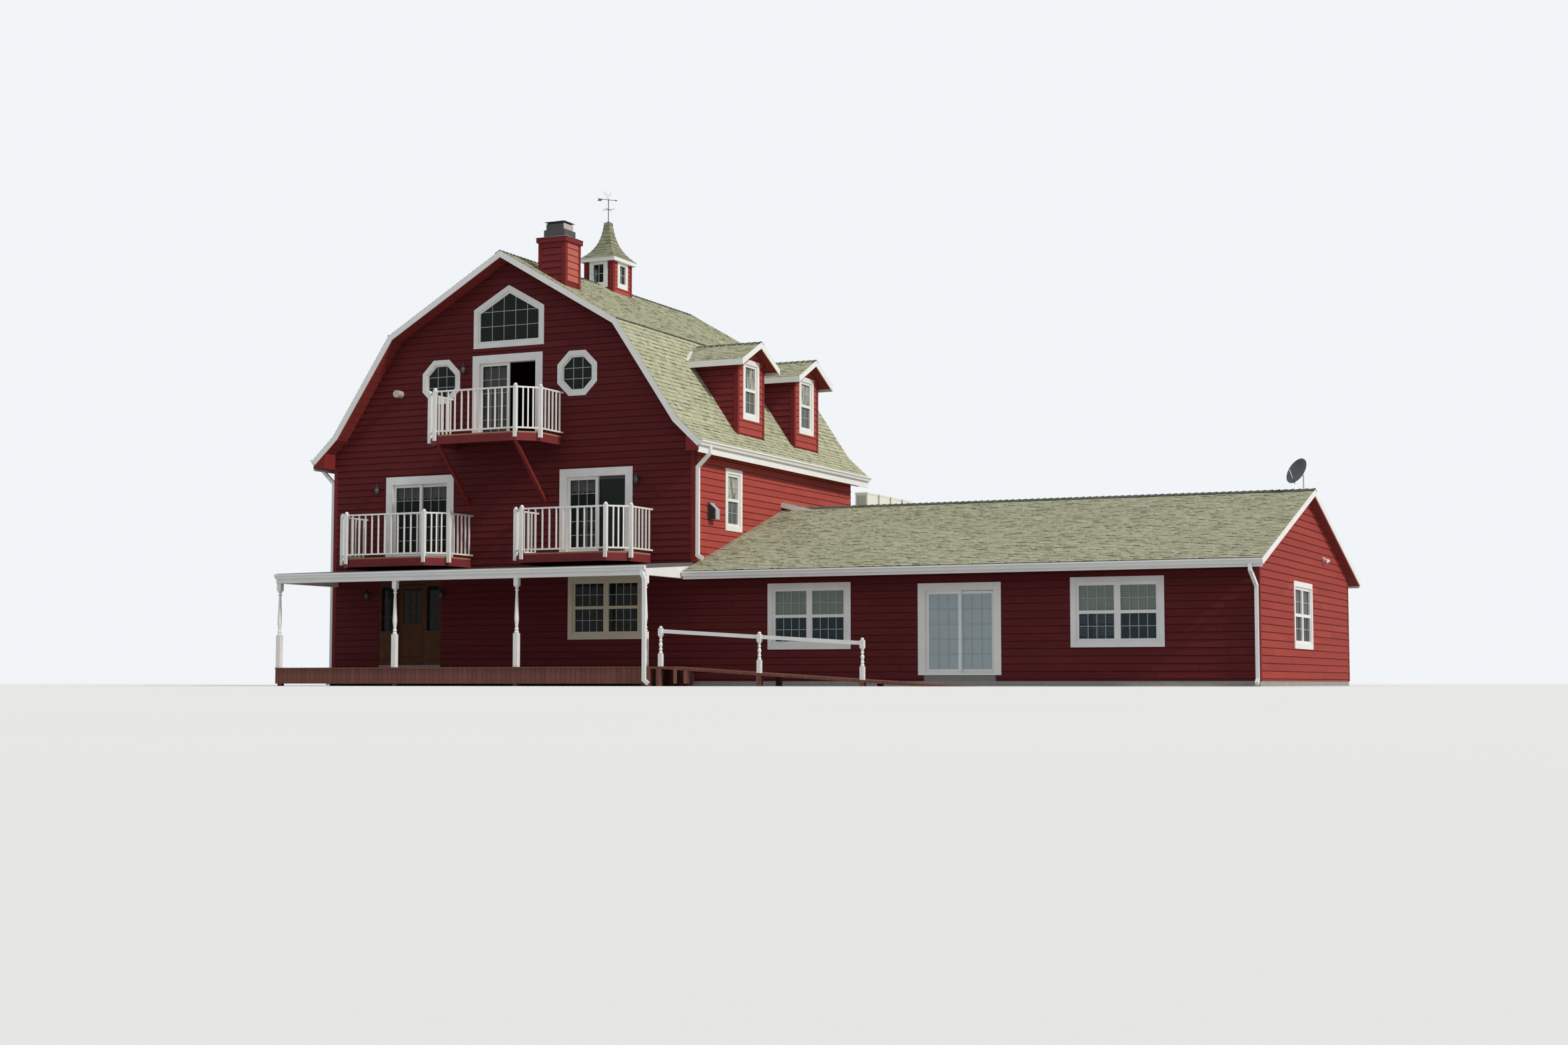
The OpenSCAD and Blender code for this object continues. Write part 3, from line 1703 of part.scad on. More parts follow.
module gable_window_frame() {
  difference() {
    union() {
      upright(-casing_t, casing_t)
        gable_window_outline(0);
      upright(0, sash_t)
        gable_window_outline(casing_w);
    }
    upright(-casing_t - 1, casing_t + 1)
      gable_window_outline(casing_w + lap);
    upright(-1, sash_t + 2)
      gable_window_outline(casing_w + 60);
  }
}

module cupola_pane() {
  rect([-cupola_win_w/2 + 40, -cupola_win_h - 35], [cupola_win_w/2 - 40, -85]);
}

module cupola_window_frame() {
  difference() {
    union() {
      upright(-casing_t, casing_t)
        rect([-cupola_win_w/2 - 90, -740], [cupola_win_w/2 + 90, 0]);
      upright(0, sash_t)
        rect([-cupola_win_w/2, -cupola_win_h - 60], [cupola_win_w/2, -60]);
    }
    upright(-cupola_wall, 2*cupola_wall)
      cupola_pane();
  }
}

module window_frames() {
  color(trim_white) {
    at_windows()
      hung_frame($window);
    at_cupola()
      cupola_window_frame();
    for (side = [-1, 1])
      translate([side*octagon_x, front_y, octagon_z])
        octagon_frame();
    translate([0, front_y, gable_win_z])
      gable_window_frame();
  }
}

module window_glass() {
  color(pale_glass) {
    at_windows()
      hung_glass($window);
    at_cupola()
      upright(sash_t/2, glass_t)
        cupola_pane();
    for (side = [-1, 1])
      translate([side*octagon_x, front_y, octagon_z])
        upright(sash_t, glass_t)
          octagon(octagon_hole);
    translate([0, front_y, gable_win_z])
      upright(sash_t, glass_t)
        gable_window_outline(casing_w);
    at_doors(concat(closed_doors, [attic_door_at]))
      track_pane(frame_w, outer_track);
    at_doors(closed_doors)
      track_pane(leaf_overlap_x, inner_track);
    translate([patio_left, front_y, wing_floor_z])
      track_pane(frame_w, outer_track);
    upright(front_y + 80, glass_t)
      sidelites();
  }
}

// Fittings on the walls

lantern_at = [
  [entry_left - 330, ground_floor_z], [entry_right + 60, ground_floor_z],
  [balconies[0][0] - 1320, second_floor_z], [balconies[1][0] + 1240, second_floor_z],
  [balconies[2][0] - 1330, attic_floor_z]
];
end_lamp_at = [2430, 3190];
hood_at = [700, second_floor_z + 850];
round_vent_at = [-3350, attic_floor_z + 1310];

module wall_lamps() {
  color([0.12, 0.12, 0.13]) {
    for (p = lantern_at)
      translate([p[0], front_y, p[1] + lantern_h]) {
        box([-40, -15, -60], [40, 0, 100]);
        box([-10, -110, 60], [10, -14, 80]);
        translate([0, -100, -120])
          rotate_extrude($fn = round_fn)
            polygon([[0, 0], [30, 0], [42, 20], [52, 150], [62, 160], [30, 205], [0, 215]]);
      }
    translate([wing_x, end_lamp_at[0], end_lamp_at[1]]) {
      box([0, -60, -60], [30, 60, 60]);
      for (y = [-1, 1])
        translate([30 - 1, 35*y, 0])
          rotate([0, 110, 25*y])
            cylinder(r = 45, h = 140, $fn = round_fn);
    }
  }
}

// Black plate with a grey hood on the side wall, and a round vent in the gable
module wall_vents() {
  color([0.45, 0.45, 0.46])
    translate([half_w, front_y + hood_at[0], hood_at[1]]) {
      box([0, 0, 0], [40, 360, 420]);
      upright(40, 280)
        polygon([[40, 0], [200, 0], [200, 260], [40, 400]]);
    }
  color([0.75, 0.70, 0.60])
    translate([round_vent_at[0], front_y, round_vent_at[1]])
      rotate([90, 0, 0])
        cylinder(r = 100, h = 240, $fn = round_fn);
}

foundation();
ground_floors();
upper_floors();
front_walls_beside();
front_wall_upper();
gable_walls_beside();
gable_wall_top();
back_wall();
side_walls();
corner_boards();
roof_left();
roof_right();
rake_boards();
fascia_boards();
eave_boxes();
gutters();
downspouts();
dormer_walls();
dormer_roofs();
chimney();
chimney_cap();
cupola();
cupola_roof();
weathervane_mast();
weathervane_arrow();
wing_walls_beside();
wing_wall_over();
wing_back_wall();
wing_end_wall();
wing_roof();
low_roof();
low_roof_walls();
condenser_units();
satellite_dish();
porch_deck();
deck_frame();
porch_posts();
porch_beam();
porch_roof();
ramp();
ramp_rail();
balcony_decks();
balcony_rails();
balcony_braces();
entry_frame();
entry_door();
entry_door_glass();
patio_frame();
patio_door();
patio_door_glass();
upper_doors();
window_frames();
window_glass();
wall_lamps();
wall_vents();
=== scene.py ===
# %% [markdown]
# # A red gambrel house, dressed board by board
#
# The solids of this house were made in a CAD program and packed as a fixed frame. This lesson
# puts the finish on them: lapped siding, shingles, window bars, door panels, blinds and paint.
# Every new piece is worked out with numpy from the same sizes as the solids, so it needs no
# fitting.

# %% Load the fixed frame
import json
import math

import bpy
import numpy as np
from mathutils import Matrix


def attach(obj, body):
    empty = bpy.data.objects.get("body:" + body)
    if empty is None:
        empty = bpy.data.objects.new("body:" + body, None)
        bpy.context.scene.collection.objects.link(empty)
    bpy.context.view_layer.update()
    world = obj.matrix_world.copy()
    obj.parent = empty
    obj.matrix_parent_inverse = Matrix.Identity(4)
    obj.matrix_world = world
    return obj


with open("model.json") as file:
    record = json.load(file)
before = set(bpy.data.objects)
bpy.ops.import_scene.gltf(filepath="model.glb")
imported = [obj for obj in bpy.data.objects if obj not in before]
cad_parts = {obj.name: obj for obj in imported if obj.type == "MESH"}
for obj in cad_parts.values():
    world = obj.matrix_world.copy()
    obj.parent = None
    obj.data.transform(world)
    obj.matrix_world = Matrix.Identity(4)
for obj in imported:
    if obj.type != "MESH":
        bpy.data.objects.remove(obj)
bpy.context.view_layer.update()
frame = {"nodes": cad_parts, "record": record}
solids = frame["nodes"]
print("nodes in the frame:", len(solids))

# %% [markdown]
# ## The sizes that the solids were built to
#
# The frame tells where each node starts and ends. The lines between them, such as the kink and
# the flare of the gambrel, are written here once, in metres: X runs along the front, Y runs back
# and Z is up. A point of the roof's line is (distance from the middle, height), a door is
# (middle, floor) and a window is (middle, sill, width), measured along its wall.

# %% Sizes of the walls and roofs
HALF_W, FRONT_Y, BACK_Y = 5.45, -5.0, 5.0
WALL_FOOT, WING_FOOT = 0.30, 0.12
FLOORS = {"ground": 0.55, "second": 3.35, "attic": 6.45, "wing": 0.26}
RIDGE, KINK, FLARE, EAVE = (0.0, 11.30), (3.45, 9.28), (5.195, 6.675), (5.815, 6.095)
ROOF_T, RAKE_OVER = 0.15, 0.49
RAKE_Y = BACK_Y + RAKE_OVER
WING_X, WING_BACK, WING_MID, WING_RIDGE, WING_EAVE = 19.5, 5.8, 0.4, 4.80, 2.83
WING_OVER, WING_RAKE = 0.62, 0.24
WING_RUN = WING_BACK - WING_MID + WING_OVER
WING_SLOPE = (WING_RIDGE - WING_EAVE) / WING_RUN
DORMER_X, DORMER_YS, DORMER_HALF_W = 5.30, (-1.45, 2.15), 0.80
DORMER_RIDGE, DORMER_FRONT, DORMER_REACH, DORMER_SLOPE = 9.10, 5.63, 1.13 + 0.02, 0.5
DORMER_EAVE = DORMER_RIDGE - DORMER_SLOPE * DORMER_REACH
DORMERS = [(side, y) for side in (1, -1) for y in DORMER_YS]
rng = np.random.default_rng(7)


def line_at(a, b, x):
    """Height at x of the straight line through the points a and b."""
    return a[1] + (b[1] - a[1]) * (x - a[0]) / (b[0] - a[0])


print("wing roof slope:", round(WING_SLOPE, 3))

# %% Doors and windows
DOOR_W, DOOR_H = 1.83, 2.05
DOORS = {"left": (-2.71, 3.35), "right": (2.64, 3.35), "attic": (-0.03, 6.45), "patio": (12.445, 0.26)}
BALCONIES = ((-2.71, 3.32), (2.61, 3.32), (-0.01, 6.42))
ENTRY_X, ENTRY_W, ENTRY_H = -2.99, 1.96, 2.20
WIN_H, PAIR_W, SINGLE_W = 1.61, 2.2, 0.98
SILLS = {"ground": 1.18, "second": 3.98, "attic": 7.08, "wing": 0.89, "dormer": 7.01}
MAIN_SILLS = (SILLS["ground"], SILLS["second"])
FRONT_WINDOWS = [(2.945, SILLS["ground"], PAIR_W)]
SUNNY_WINDOWS = [(-2.79, SILLS["second"], SINGLE_W)]
SIDE_WINDOWS = [(y, sill, SINGLE_W) for y in (-2.79, 2.79) for sill in MAIN_SILLS]
BACK_WINDOWS = [(x, sill, PAIR_W) for x in (-2.645, 2.645) for sill in MAIN_SILLS]
BACK_WINDOWS.append((0, SILLS["attic"], PAIR_W))
WING_FRONT_WINDOWS = [(x, SILLS["wing"], PAIR_W) for x in (8.58, 16.26)]
WING_BACK_WINDOWS = [(x, SILLS["wing"], PAIR_W) for x in (-8.58, -12.42, -16.26)]
WING_END_WINDOWS = [(-0.2, SILLS["wing"], PAIR_W)]
DORMER_WINDOWS = [(0, SILLS["dormer"], SINGLE_W)]
print("doors:", len(DOORS), "windows at the back:", len(BACK_WINDOWS) + len(WING_BACK_WINDOWS))

# %% [markdown]
# ## Shader maths that reads like arithmetic
#
# A material is a network of nodes. Wrapping a socket in a small class lets an expression such as
# `1 - mask * 0.3` add the Math nodes by itself, so each finish below is a few readable lines.


# %% A socket that can be added and multiplied
class Value:
    """A node's output. Sums, products and comparisons of it add Math nodes."""

    def __init__(self, nodes, socket):
        self.nodes, self.socket = nodes, socket

    def _math(self, operation, *parts):
        return self.nodes.node("ShaderNodeMath", {"operation": operation}, dict(enumerate(parts)))

    def __add__(self, other):
        return self._math("ADD", self, other)

    def __sub__(self, other):
        return self._math("SUBTRACT", self, other)

    def __rsub__(self, other):
        return self._math("SUBTRACT", other, self)

    def __mul__(self, other):
        return self._math("MULTIPLY", self, other)

    def __truediv__(self, other):
        return self._math("DIVIDE", self, other)

    def __mod__(self, other):
        return self._math("FLOORED_MODULO", self, other)

    def __gt__(self, other):
        return self._math("GREATER_THAN", self, other)

    def __lt__(self, other):
        return self._math("LESS_THAN", self, other)

    __radd__, __rmul__ = __add__, __mul__

    def floor(self):
        return self._math("FLOOR", self)

    def clamp(self):
        """The value kept between 0 and 1."""
        return self._math("MAXIMUM", self._math("MINIMUM", self, 1.0), 0.0)

    def above(self, level, gain):
        """How far it stands above a level, times gain, kept between 0 and 1."""
        return ((self - level) * gain).clamp()

    def within(self, low, high):
        """1 between low and high, and 0 elsewhere."""
        return (self > low) * (self < high)


# %% One method for any node
class Nodes:
    """A network of nodes under construction, with one method that adds any node."""

    def __init__(self, tree):
        self.tree = tree

    def node(self, kind, settings=None, inputs=None, output=0):
        """Adds a node, applies its settings, then links or sets its inputs."""
        made = self.tree.nodes.new(kind)
        for name, value in (settings or {}).items():
            setattr(made, name, value)
        for socket, value in (inputs or {}).items():
            self.feed(made.inputs[socket], value)
        return Value(self, made.outputs[output])

    def feed(self, socket, value):
        """Links a value to a socket, or writes a number, a vector or a colour into it."""
        if isinstance(value, Value):
            self.tree.links.new(value.socket, socket)
        else:
            socket.default_value = (*value, 1) if socket.type == "RGBA" else value


# %% A material made of nodes
class Finish(Nodes):
    """A material under construction. Names given to it and to set() are sockets of its shader."""

    def __init__(self, name, **constants):
        self.material = bpy.data.materials.new(name)
        self.material.use_nodes = True
        super().__init__(self.material.node_tree)
        self.shader = self.tree.nodes["Principled BSDF"]
        self.set(**constants)

    def set(self, **values):
        """Feeds sockets of the shader, written with _ for a space, and gives the material."""
        for socket, value in values.items():
            self.feed(self.shader.inputs[socket.replace("_", " ")], value)
        return self.material

    def place(self, scale=(1, 1, 1), output="Object"):
        """Object coordinates, or the piece's own UV map, stretched by scale."""
        source = self.node("ShaderNodeTexCoord", output=output)
        return self.node("ShaderNodeMapping", inputs={"Vector": source, "Scale": scale})

    def split(self, vector):
        """The three numbers of a vector."""
        made = self.node("ShaderNodeSeparateXYZ", inputs={"Vector": vector})
        return [Value(self, output) for output in made.socket.node.outputs]

    def join(self, x=0.0, y=0.0, z=0.0):
        """A vector from three numbers."""
        return self.node("ShaderNodeCombineXYZ", inputs={0: x, 1: y, 2: z})

    def noise(self, vector, scale, detail=3.0):
        """Soft random values around 0.5."""
        return self.node("ShaderNodeTexNoise", inputs={"Vector": vector, "Scale": scale, "Detail": detail})

    def random(self, vector):
        """One even random value for each whole-numbered vector."""
        return self.node("ShaderNodeTexWhiteNoise", {"noise_dimensions": "3D"}, {"Vector": vector})

    def mix(self, factor, a, b):
        """Colour between a and b."""
        return self.node("ShaderNodeMix", {"data_type": "RGBA"}, {"Factor": factor, 6: a, 7: b}, output=2)

    def bump(self, height, strength, distance):
        """Relief that follows height, with its depth as a distance in metres."""
        self.set(Normal=self.node(
            "ShaderNodeBump", inputs={"Strength": strength, "Distance": distance, "Height": height}))


def tint(colour, factor, plus=0.0):
    """A colour's three numbers times a factor, plus a little."""
    return tuple(c * factor + plus for c in colour)


print("shader helpers ready")

# %% [markdown]
# ## Painted boards
#
# The walls are lapped boards under a worn red stain. On the real wall no two boards have quite
# the same red, and the grain runs along the board. Under each lap the colour is darkened, painted
# shade. Each siding piece carries a UV map in metres along and up its wall, so the finish can tell
# one board from the next. A board's own number picks its tone. The walls that look along +X face
# the key light and get paler reds of their own, painted sunlight, while the other large walls get
# the darkest reds, painted shade.


# %% Red siding
SIDING_STEP, DORMER_STEP, CUPOLA_STEP = 0.175, 0.17, 0.12
# SHADED holds darker reds than the stain's own: painted shade for the large walls.
SHADED = ((0.080, 0.0105, 0.0125), (0.108, 0.015, 0.017), (0.142, 0.024, 0.024))
WORN = ((0.130, 0.017, 0.021), (0.170, 0.024, 0.028), (0.215, 0.037, 0.040))
# The paler reds below are painted sunlight, for walls that face the key light along +X.
SUNLIT_REDS = ((0.276, 0.042, 0.037), (0.371, 0.061, 0.051), (0.479, 0.099, 0.071))
WING_SUNLIT_REDS = ((0.225, 0.029, 0.024), (0.305, 0.042, 0.033), (0.39, 0.067, 0.046))
CHIMNEY_SUNLIT_REDS = ((0.350, 0.080, 0.066), (0.460, 0.115, 0.090), (0.560, 0.165, 0.122))
# One dark colour for the board joints and for the painted shade under the laps.
JOINT_AND_LAP_SHADE = (0.018, 0.004, 0.004)
DULL = 0.12


def board_number(finish, x, up, step, length):
    """Numbers of a course, (up / step) rounded down, and of a board in it, ((x + shift) / length)
    rounded down, and the distance along that board. Each course has its own random shift."""
    course = (up / step).floor()
    shift = finish.random(finish.join(course, 3.0)) * length
    return course, ((x + shift) / length).floor(), (x + shift) % length


def siding_finish(name, step, length=3.6, reds=SHADED, lap=0.85):
    """Boards of one length between three reds, worn along their grain, with dark joints and painted shade
    under each lap.
    """
    f = Finish(name, Specular_IOR_Level=DULL)
    x, up, _ = f.split(f.place(output="UV"))
    course, board, along = board_number(f, x, up, step, length)
    shade = f.random(f.join(course, board))
    grain = f.noise(f.join(x * 2.0, up * 45.0, shade * 9.0), 1.0, 5.0)
    stain = f.noise(f.join(x * 0.35, up * 0.9, 0.0), 1.0, 4.0)
    worn = f.noise(f.join(x * 0.9, up * 14.0, shade * 5.0), 1.0, 5.0)
    joint = (along < 0.006) * 0.75
    # Painted shade: the top tenth of each course, under the butt of the board above, is darkened.
    lap_shade = (((up % step) / step) > 0.90) * lap
    chalky = tint(reds[2], 1.3, 0.02)
    colour = f.mix(shade, reds[0], reds[2])
    colour = f.mix((stain - 0.35).clamp() * 1.6, reds[1], colour)
    colour = f.mix(grain.above(0.55, 1.4), colour, chalky)
    colour = f.mix(worn.above(0.68, 6.0) * 0.5, colour, tint(chalky, 1.2, 0.03))
    colour = f.mix((joint + lap_shade).clamp(), colour, JOINT_AND_LAP_SHADE)
    f.bump(grain * 0.6 - joint, 0.35, 0.004)
    return f.set(Base_Color=colour, Roughness=0.62 + grain * 0.25)


def painted_red():
    """Red boards without courses, for eaves, corners and frames."""
    f = Finish("red_boards", Specular_IOR_Level=DULL)
    grain = f.noise(f.place((3, 3, 3)), 6.0, 5.0)
    worn = f.noise(f.place(), 0.8, 4.0)
    colour = f.mix(worn, (0.128, 0.013, 0.015), (0.237, 0.033, 0.032))
    colour = f.mix(grain.above(0.58, 2.0), colour, (0.30, 0.075, 0.06))
    f.bump(grain, 0.25, 0.003)
    return f.set(Base_Color=colour, Roughness=0.6 + grain * 0.2)


SIDING = siding_finish("red_siding", SIDING_STEP, lap=0.72)
# The pieces that look along +X get the paler reds: painted sunlight.
SUNLIT_SIDING = siding_finish("painted_sunlight_red_siding", SIDING_STEP, reds=SUNLIT_REDS)
DORMER_SIDING = siding_finish("dormer_red_siding", DORMER_STEP, 2.4, WORN)
SUNLIT_DORMER_SIDING = siding_finish("painted_sunlight_dormer_siding", DORMER_STEP, 2.4, SUNLIT_REDS)
CHIMNEY_SIDING = siding_finish("chimney_red_siding", SIDING_STEP, 2.4, WORN)
SUNLIT_CHIMNEY_SIDING = siding_finish("painted_sunlight_chimney_siding", SIDING_STEP, 2.4, CHIMNEY_SUNLIT_REDS)
SUNLIT_WING_END_SIDING = siding_finish("painted_sunlight_wing_siding", SIDING_STEP, reds=WING_SUNLIT_REDS)
CUPOLA_SIDING = siding_finish("cupola_red_siding", CUPOLA_STEP, 2.4, WORN)
SUNLIT_CUPOLA_SIDING = siding_finish("painted_sunlight_cupola_siding", CUPOLA_STEP, 2.4, SUNLIT_REDS)
RED_BOARDS = painted_red()
print("red finishes:", SIDING.name, DORMER_SIDING.name, RED_BOARDS.name)

# %% [markdown]
# ## Shingles
#
# Asphalt shingles are grey-green granules pressed on felt. Each tab has a tone of its own, a few
# tabs are darker than the rest, and about one in three is a second layer thick. A dark line is
# painted under the butts, faint under most tabs and deep under the thick ones: painted shadow.
# Rain leaves very soft streaks down the slope.


# %% Shingle finish
SHINGLE_STEP, TAB_W = 0.143, 0.17


def shingle_finish(name, moss, pale):
    """Tabs between two colours, moss and pale, with granules, streaks, dark slots and painted shadows under
    the butts.
    """
    f = Finish(name, Specular_IOR_Level=0.25)
    x, up, _ = f.split(f.place(output="UV"))
    course, tab, along = board_number(f, x, up, SHINGLE_STEP, TAB_W)
    shade = f.random(f.join(course, tab, 5.0))
    lifted = f.random(f.join(course, tab, 8.0)) > 0.68
    granules = f.noise(f.join(x * 130.0, up * 130.0), 1.0, 2.0)
    streaks = f.noise(f.join(x * 0.9, up * 0.3), 1.0, 4.0)
    slot = (along < 0.008) * (shade > 0.5) * 0.5
    # Painted shadow under the butt of each course, deeper under the thick tabs.
    under = (((up % SHINGLE_STEP) / SHINGLE_STEP) > 0.87) * (0.16 + lifted * 0.74)
    colour = f.mix(shade, moss, pale)
    colour = f.mix((shade < 0.10) * 0.30, colour, tint(moss, 0.5))
    colour = f.mix(granules.above(0.5, 1.4), colour, tint(pale, 1.4))
    colour = f.mix(streaks.above(0.5, 0.5), colour, tint(moss, 0.6))
    colour = f.mix((under + slot).clamp(), colour, (0.035, 0.037, 0.026))
    f.bump(granules, 0.4, 0.003)
    return f.set(Base_Color=colour, Roughness=0.85 + granules * 0.1)


SHINGLES = shingle_finish("grey_green_shingles", (0.355, 0.36, 0.24), (0.475, 0.475, 0.335))
SPIRE_SHINGLES = shingle_finish("spire_shingles", (0.20, 0.205, 0.13), (0.29, 0.295, 0.20))
# The darkest shingles go on the ridge caps and the kink's edge: painted shade along the ridges and under the
# overhang.
CAP_SHINGLES = shingle_finish("ridge_shingles_painted_shade", (0.055, 0.065, 0.050), (0.12, 0.13, 0.10))
print("shingle finishes:", SHINGLES.name, CAP_SHINGLES.name)

# %% [markdown]
# ## Paint, metal, wood, concrete and glass
#
# The other surfaces are simpler, but none is one flat colour: paint has brush marks and a trace
# of dirt, concrete has pores and damp, deck boards have grain and worn paths.


# %% Paint, metal and stone
def plain_finish(name, colour, other, scale, roughness, relief=0.0015, **constants):
    """A surface between two colours, in soft patches, with a fine relief."""
    f = Finish(name, **constants)
    patches = f.noise(f.place(), scale * 0.15, 4.0)
    fine = f.noise(f.place(), scale, 4.0)
    tone = f.mix((patches * 1.6 - 0.3).clamp(), colour, other)
    f.bump(fine, 0.3, relief)
    return f.set(Base_Color=tone, Roughness=roughness + fine * 0.12)


WHITE_PAINT = plain_finish("white_paint", (0.84, 0.84, 0.82), (0.76, 0.76, 0.73), 18, 0.42)
WHITE_METAL = plain_finish("white_enamel", (0.84, 0.85, 0.84), (0.77, 0.78, 0.77), 9, 0.28, 0.0006)
CREAM_METAL = plain_finish("cream_enamel", (0.80, 0.79, 0.71), (0.72, 0.71, 0.64), 9, 0.35, 0.0006)
CLOTH = plain_finish("lace_cloth", (0.82, 0.83, 0.79), (0.66, 0.68, 0.64), 60, 0.9, 0.002)
DARK_METAL = plain_finish("dark_metal", (0.028, 0.028, 0.030), (0.045, 0.045, 0.046), 25, 0.45, Metallic=0.6)
GREY_METAL = plain_finish("grey_metal", (0.20, 0.21, 0.22), (0.26, 0.27, 0.28), 14, 0.4, Metallic=0.7)
CONCRETE = plain_finish("concrete", (0.36, 0.35, 0.33), (0.27, 0.26, 0.24), 35, 0.85, 0.006)
PORCH_ROOFING = plain_finish("roll_roofing", (0.10, 0.10, 0.10), (0.16, 0.155, 0.15), 60, 0.85, 0.002)
BROWN_WOOD = plain_finish("brown_varnish", (0.105, 0.042, 0.016), (0.065, 0.026, 0.011), 30, 0.5,
                          Specular_IOR_Level=DULL)
# Greyer than the white paint: painted shade of the glass in front of the bars.
BAR_PAINT = plain_finish("bar_paint", (0.44, 0.47, 0.455), (0.37, 0.395, 0.38), 18, 0.5)
print("paints and metals:", WHITE_PAINT.name, WHITE_METAL.name, BROWN_WOOD.name)


# %% Boards on decks and floors
def deck_finish(name, colour, worn, width, edge=None):
    """Boards along Y, each with its own shade and with its grain along it. Where edge is given,
    the ends that show in the front wall have that colour."""
    f = Finish(name, Specular_IOR_Level=0.2)
    x, y, z = f.split(f.place())
    shade = f.random(f.join((x / width).floor(), 1.0))
    gap = ((x % width) / width < 0.06) * 0.9
    grain = f.noise(f.join(x * 30.0, y * 1.5, z * 30.0), 1.0, 5.0)
    tone = f.mix(shade * 0.6 + grain * 0.4, colour, worn)
    f.bump(grain * 0.5 - gap, 0.5, 0.004)
    tone = f.mix(gap, tone, (0.01, 0.008, 0.008))
    if edge:
        tone = f.mix(y < FRONT_Y + 0.02, tone, edge)
    return f.set(Base_Color=tone, Roughness=0.6 + grain * 0.25)


DECK_BOARDS = deck_finish("deck_boards", (0.14, 0.050, 0.038), (0.20, 0.085, 0.065), 0.14)
FLOOR_BOARDS = deck_finish("floor_boards", (0.28, 0.17, 0.09), (0.36, 0.23, 0.13), 0.12, (0.24, 0.235, 0.22))
print("boards:", DECK_BOARDS.name, FLOOR_BOARDS.name)

# %% Glass
SASH_MIDDLE = {floor: sill + WIN_H / 2 for floor, sill in SILLS.items()}
GABLE_Z, GABLE_PANE_Z, OCTAGON_EDGE = (7.5, 10.4), 8.8, 1.5
SCREEN_X, SCREEN_Z = (2.68, 3.45), (FLOORS["second"], 5.4)
PORCH_X, PORCH_Z, PATIO_X = 4.2, 3.0, (11.5, 13.4)
SUNNY_X, SUNNY_Z, SUNNY_TOP = (DORMER_X - 0.1, HALF_W + 0.1), 3.9, 6.0


def glass_finish():
    """Thin dark glass with a slow ripple in its reflections. Under the porch and in the gable the glass
    lets less through, so the rooms behind it look dark: painted shade. In the open half of the
    right door an insect screen is left. The patio door is painted with the pale blue of the sky,
    and the wing's windows with a hint of it: painted reflections. The panes in the sunny wall and
    its dormers are milky: grey insect screens below, sunlit curtains above."""
    f = Finish("window_glass", Specular_IOR_Level=DULL)
    spot = f.place()
    x, y, z = f.split(spot)
    ripple = f.noise(spot, 1.4, 2.0)
    folds = f.noise(f.join(y * 9.0, z * 1.5), 1.0, 2.0)
    front = y < FRONT_Y + 0.2
    gable = z.within(*GABLE_Z) * ((x < -OCTAGON_EDGE) + (x > OCTAGON_EDGE) + (z > GABLE_PANE_Z)).clamp()
    screen = x.within(*SCREEN_X) * z.within(*SCREEN_Z)
    porch = (x < PORCH_X) * (z < PORCH_Z)
    patio = front * x.within(*PATIO_X)
    wing = front * (x > HALF_W + 1.0)
    sunny = x.within(*SUNNY_X) * (z > SUNNY_Z) * (1 - front)
    upper = (z.within(SASH_MIDDLE["second"], SUNNY_TOP) + (z > SASH_MIDDLE["dormer"])).clamp()
    colour = f.mix(ripple, (0.006, 0.011, 0.009), (0.018, 0.030, 0.024))
    # The wing's and the patio door's colours below are painted reflections of the sky.
    for share, seen in ((sunny, (0.13, 0.14, 0.145)),
                        (sunny * upper * folds.above(0.42, 9.0), (0.48, 0.48, 0.42)),
                        (wing * (z < SASH_MIDDLE["wing"]), (0.06, 0.09, 0.11)),
                        (wing * (z > SASH_MIDDLE["wing"]), (0.24, 0.31, 0.26)),
                        (patio, (0.52, 0.63, 0.67))):
        colour = f.mix(share, colour, seen)
    f.bump(ripple, 0.12, 0.02)
    # Less see-through glass under the porch and in the gable is painted shade of the rooms behind; in the
    # right door it is the screen.
    cover = front * (gable + screen + porch).clamp() * 0.42 + sunny * 0.38 + patio * 0.28 + 0.42
    return f.set(Base_Color=colour, Roughness=0.03 + ripple * 0.04, Alpha=cover)


GLASS = glass_finish()
print("materials:", len(bpy.data.materials))

# %% [markdown]
# ## From arrays to meshes
#
# Every new piece is a set of four-cornered faces. A piece is an array with one row for each
# face, so a wall of boards or a row of bars is made by array arithmetic and handed to Blender in
# one call. Turned pieces and cloth have the corners that meet merged, so that they are closed.


# %% Pieces from faces
def piece(name, corners, material, uv=None, body="root", merge=False):
    """A mesh object from an array of faces with the shape (faces, 4, 3), which rides on a body."""
    corners = np.asarray(corners, float).reshape(-1, 4, 3)
    count = len(corners)
    mesh = bpy.data.meshes.new(name)
    mesh.vertices.add(4 * count)
    mesh.vertices.foreach_set("co", corners.ravel())
    mesh.loops.add(4 * count)
    mesh.loops.foreach_set("vertex_index", np.arange(4 * count))
    mesh.polygons.add(count)
    mesh.polygons.foreach_set("loop_start", np.arange(0, 4 * count, 4))
    if uv is not None:
        layer = mesh.uv_layers.new(name="UVMap")
        layer.data.foreach_set("uv", np.asarray(uv, float).ravel())
    mesh.update(calc_edges=True)
    mesh.validate()
    mesh.materials.append(material)
    made = bpy.data.objects.new(name, mesh)
    bpy.context.scene.collection.objects.link(made)
    if merge:
        made.modifiers.new("weld", "WELD").merge_threshold = 0.0001
    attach(made, body)
    print(f"{name}: {count} faces")
    return made


# %% Boxes, rings and planes
def rows(*columns):
    """One row for each item of the longest column; a single number is repeated down its column."""
    return np.column_stack(np.broadcast_arrays(*columns))


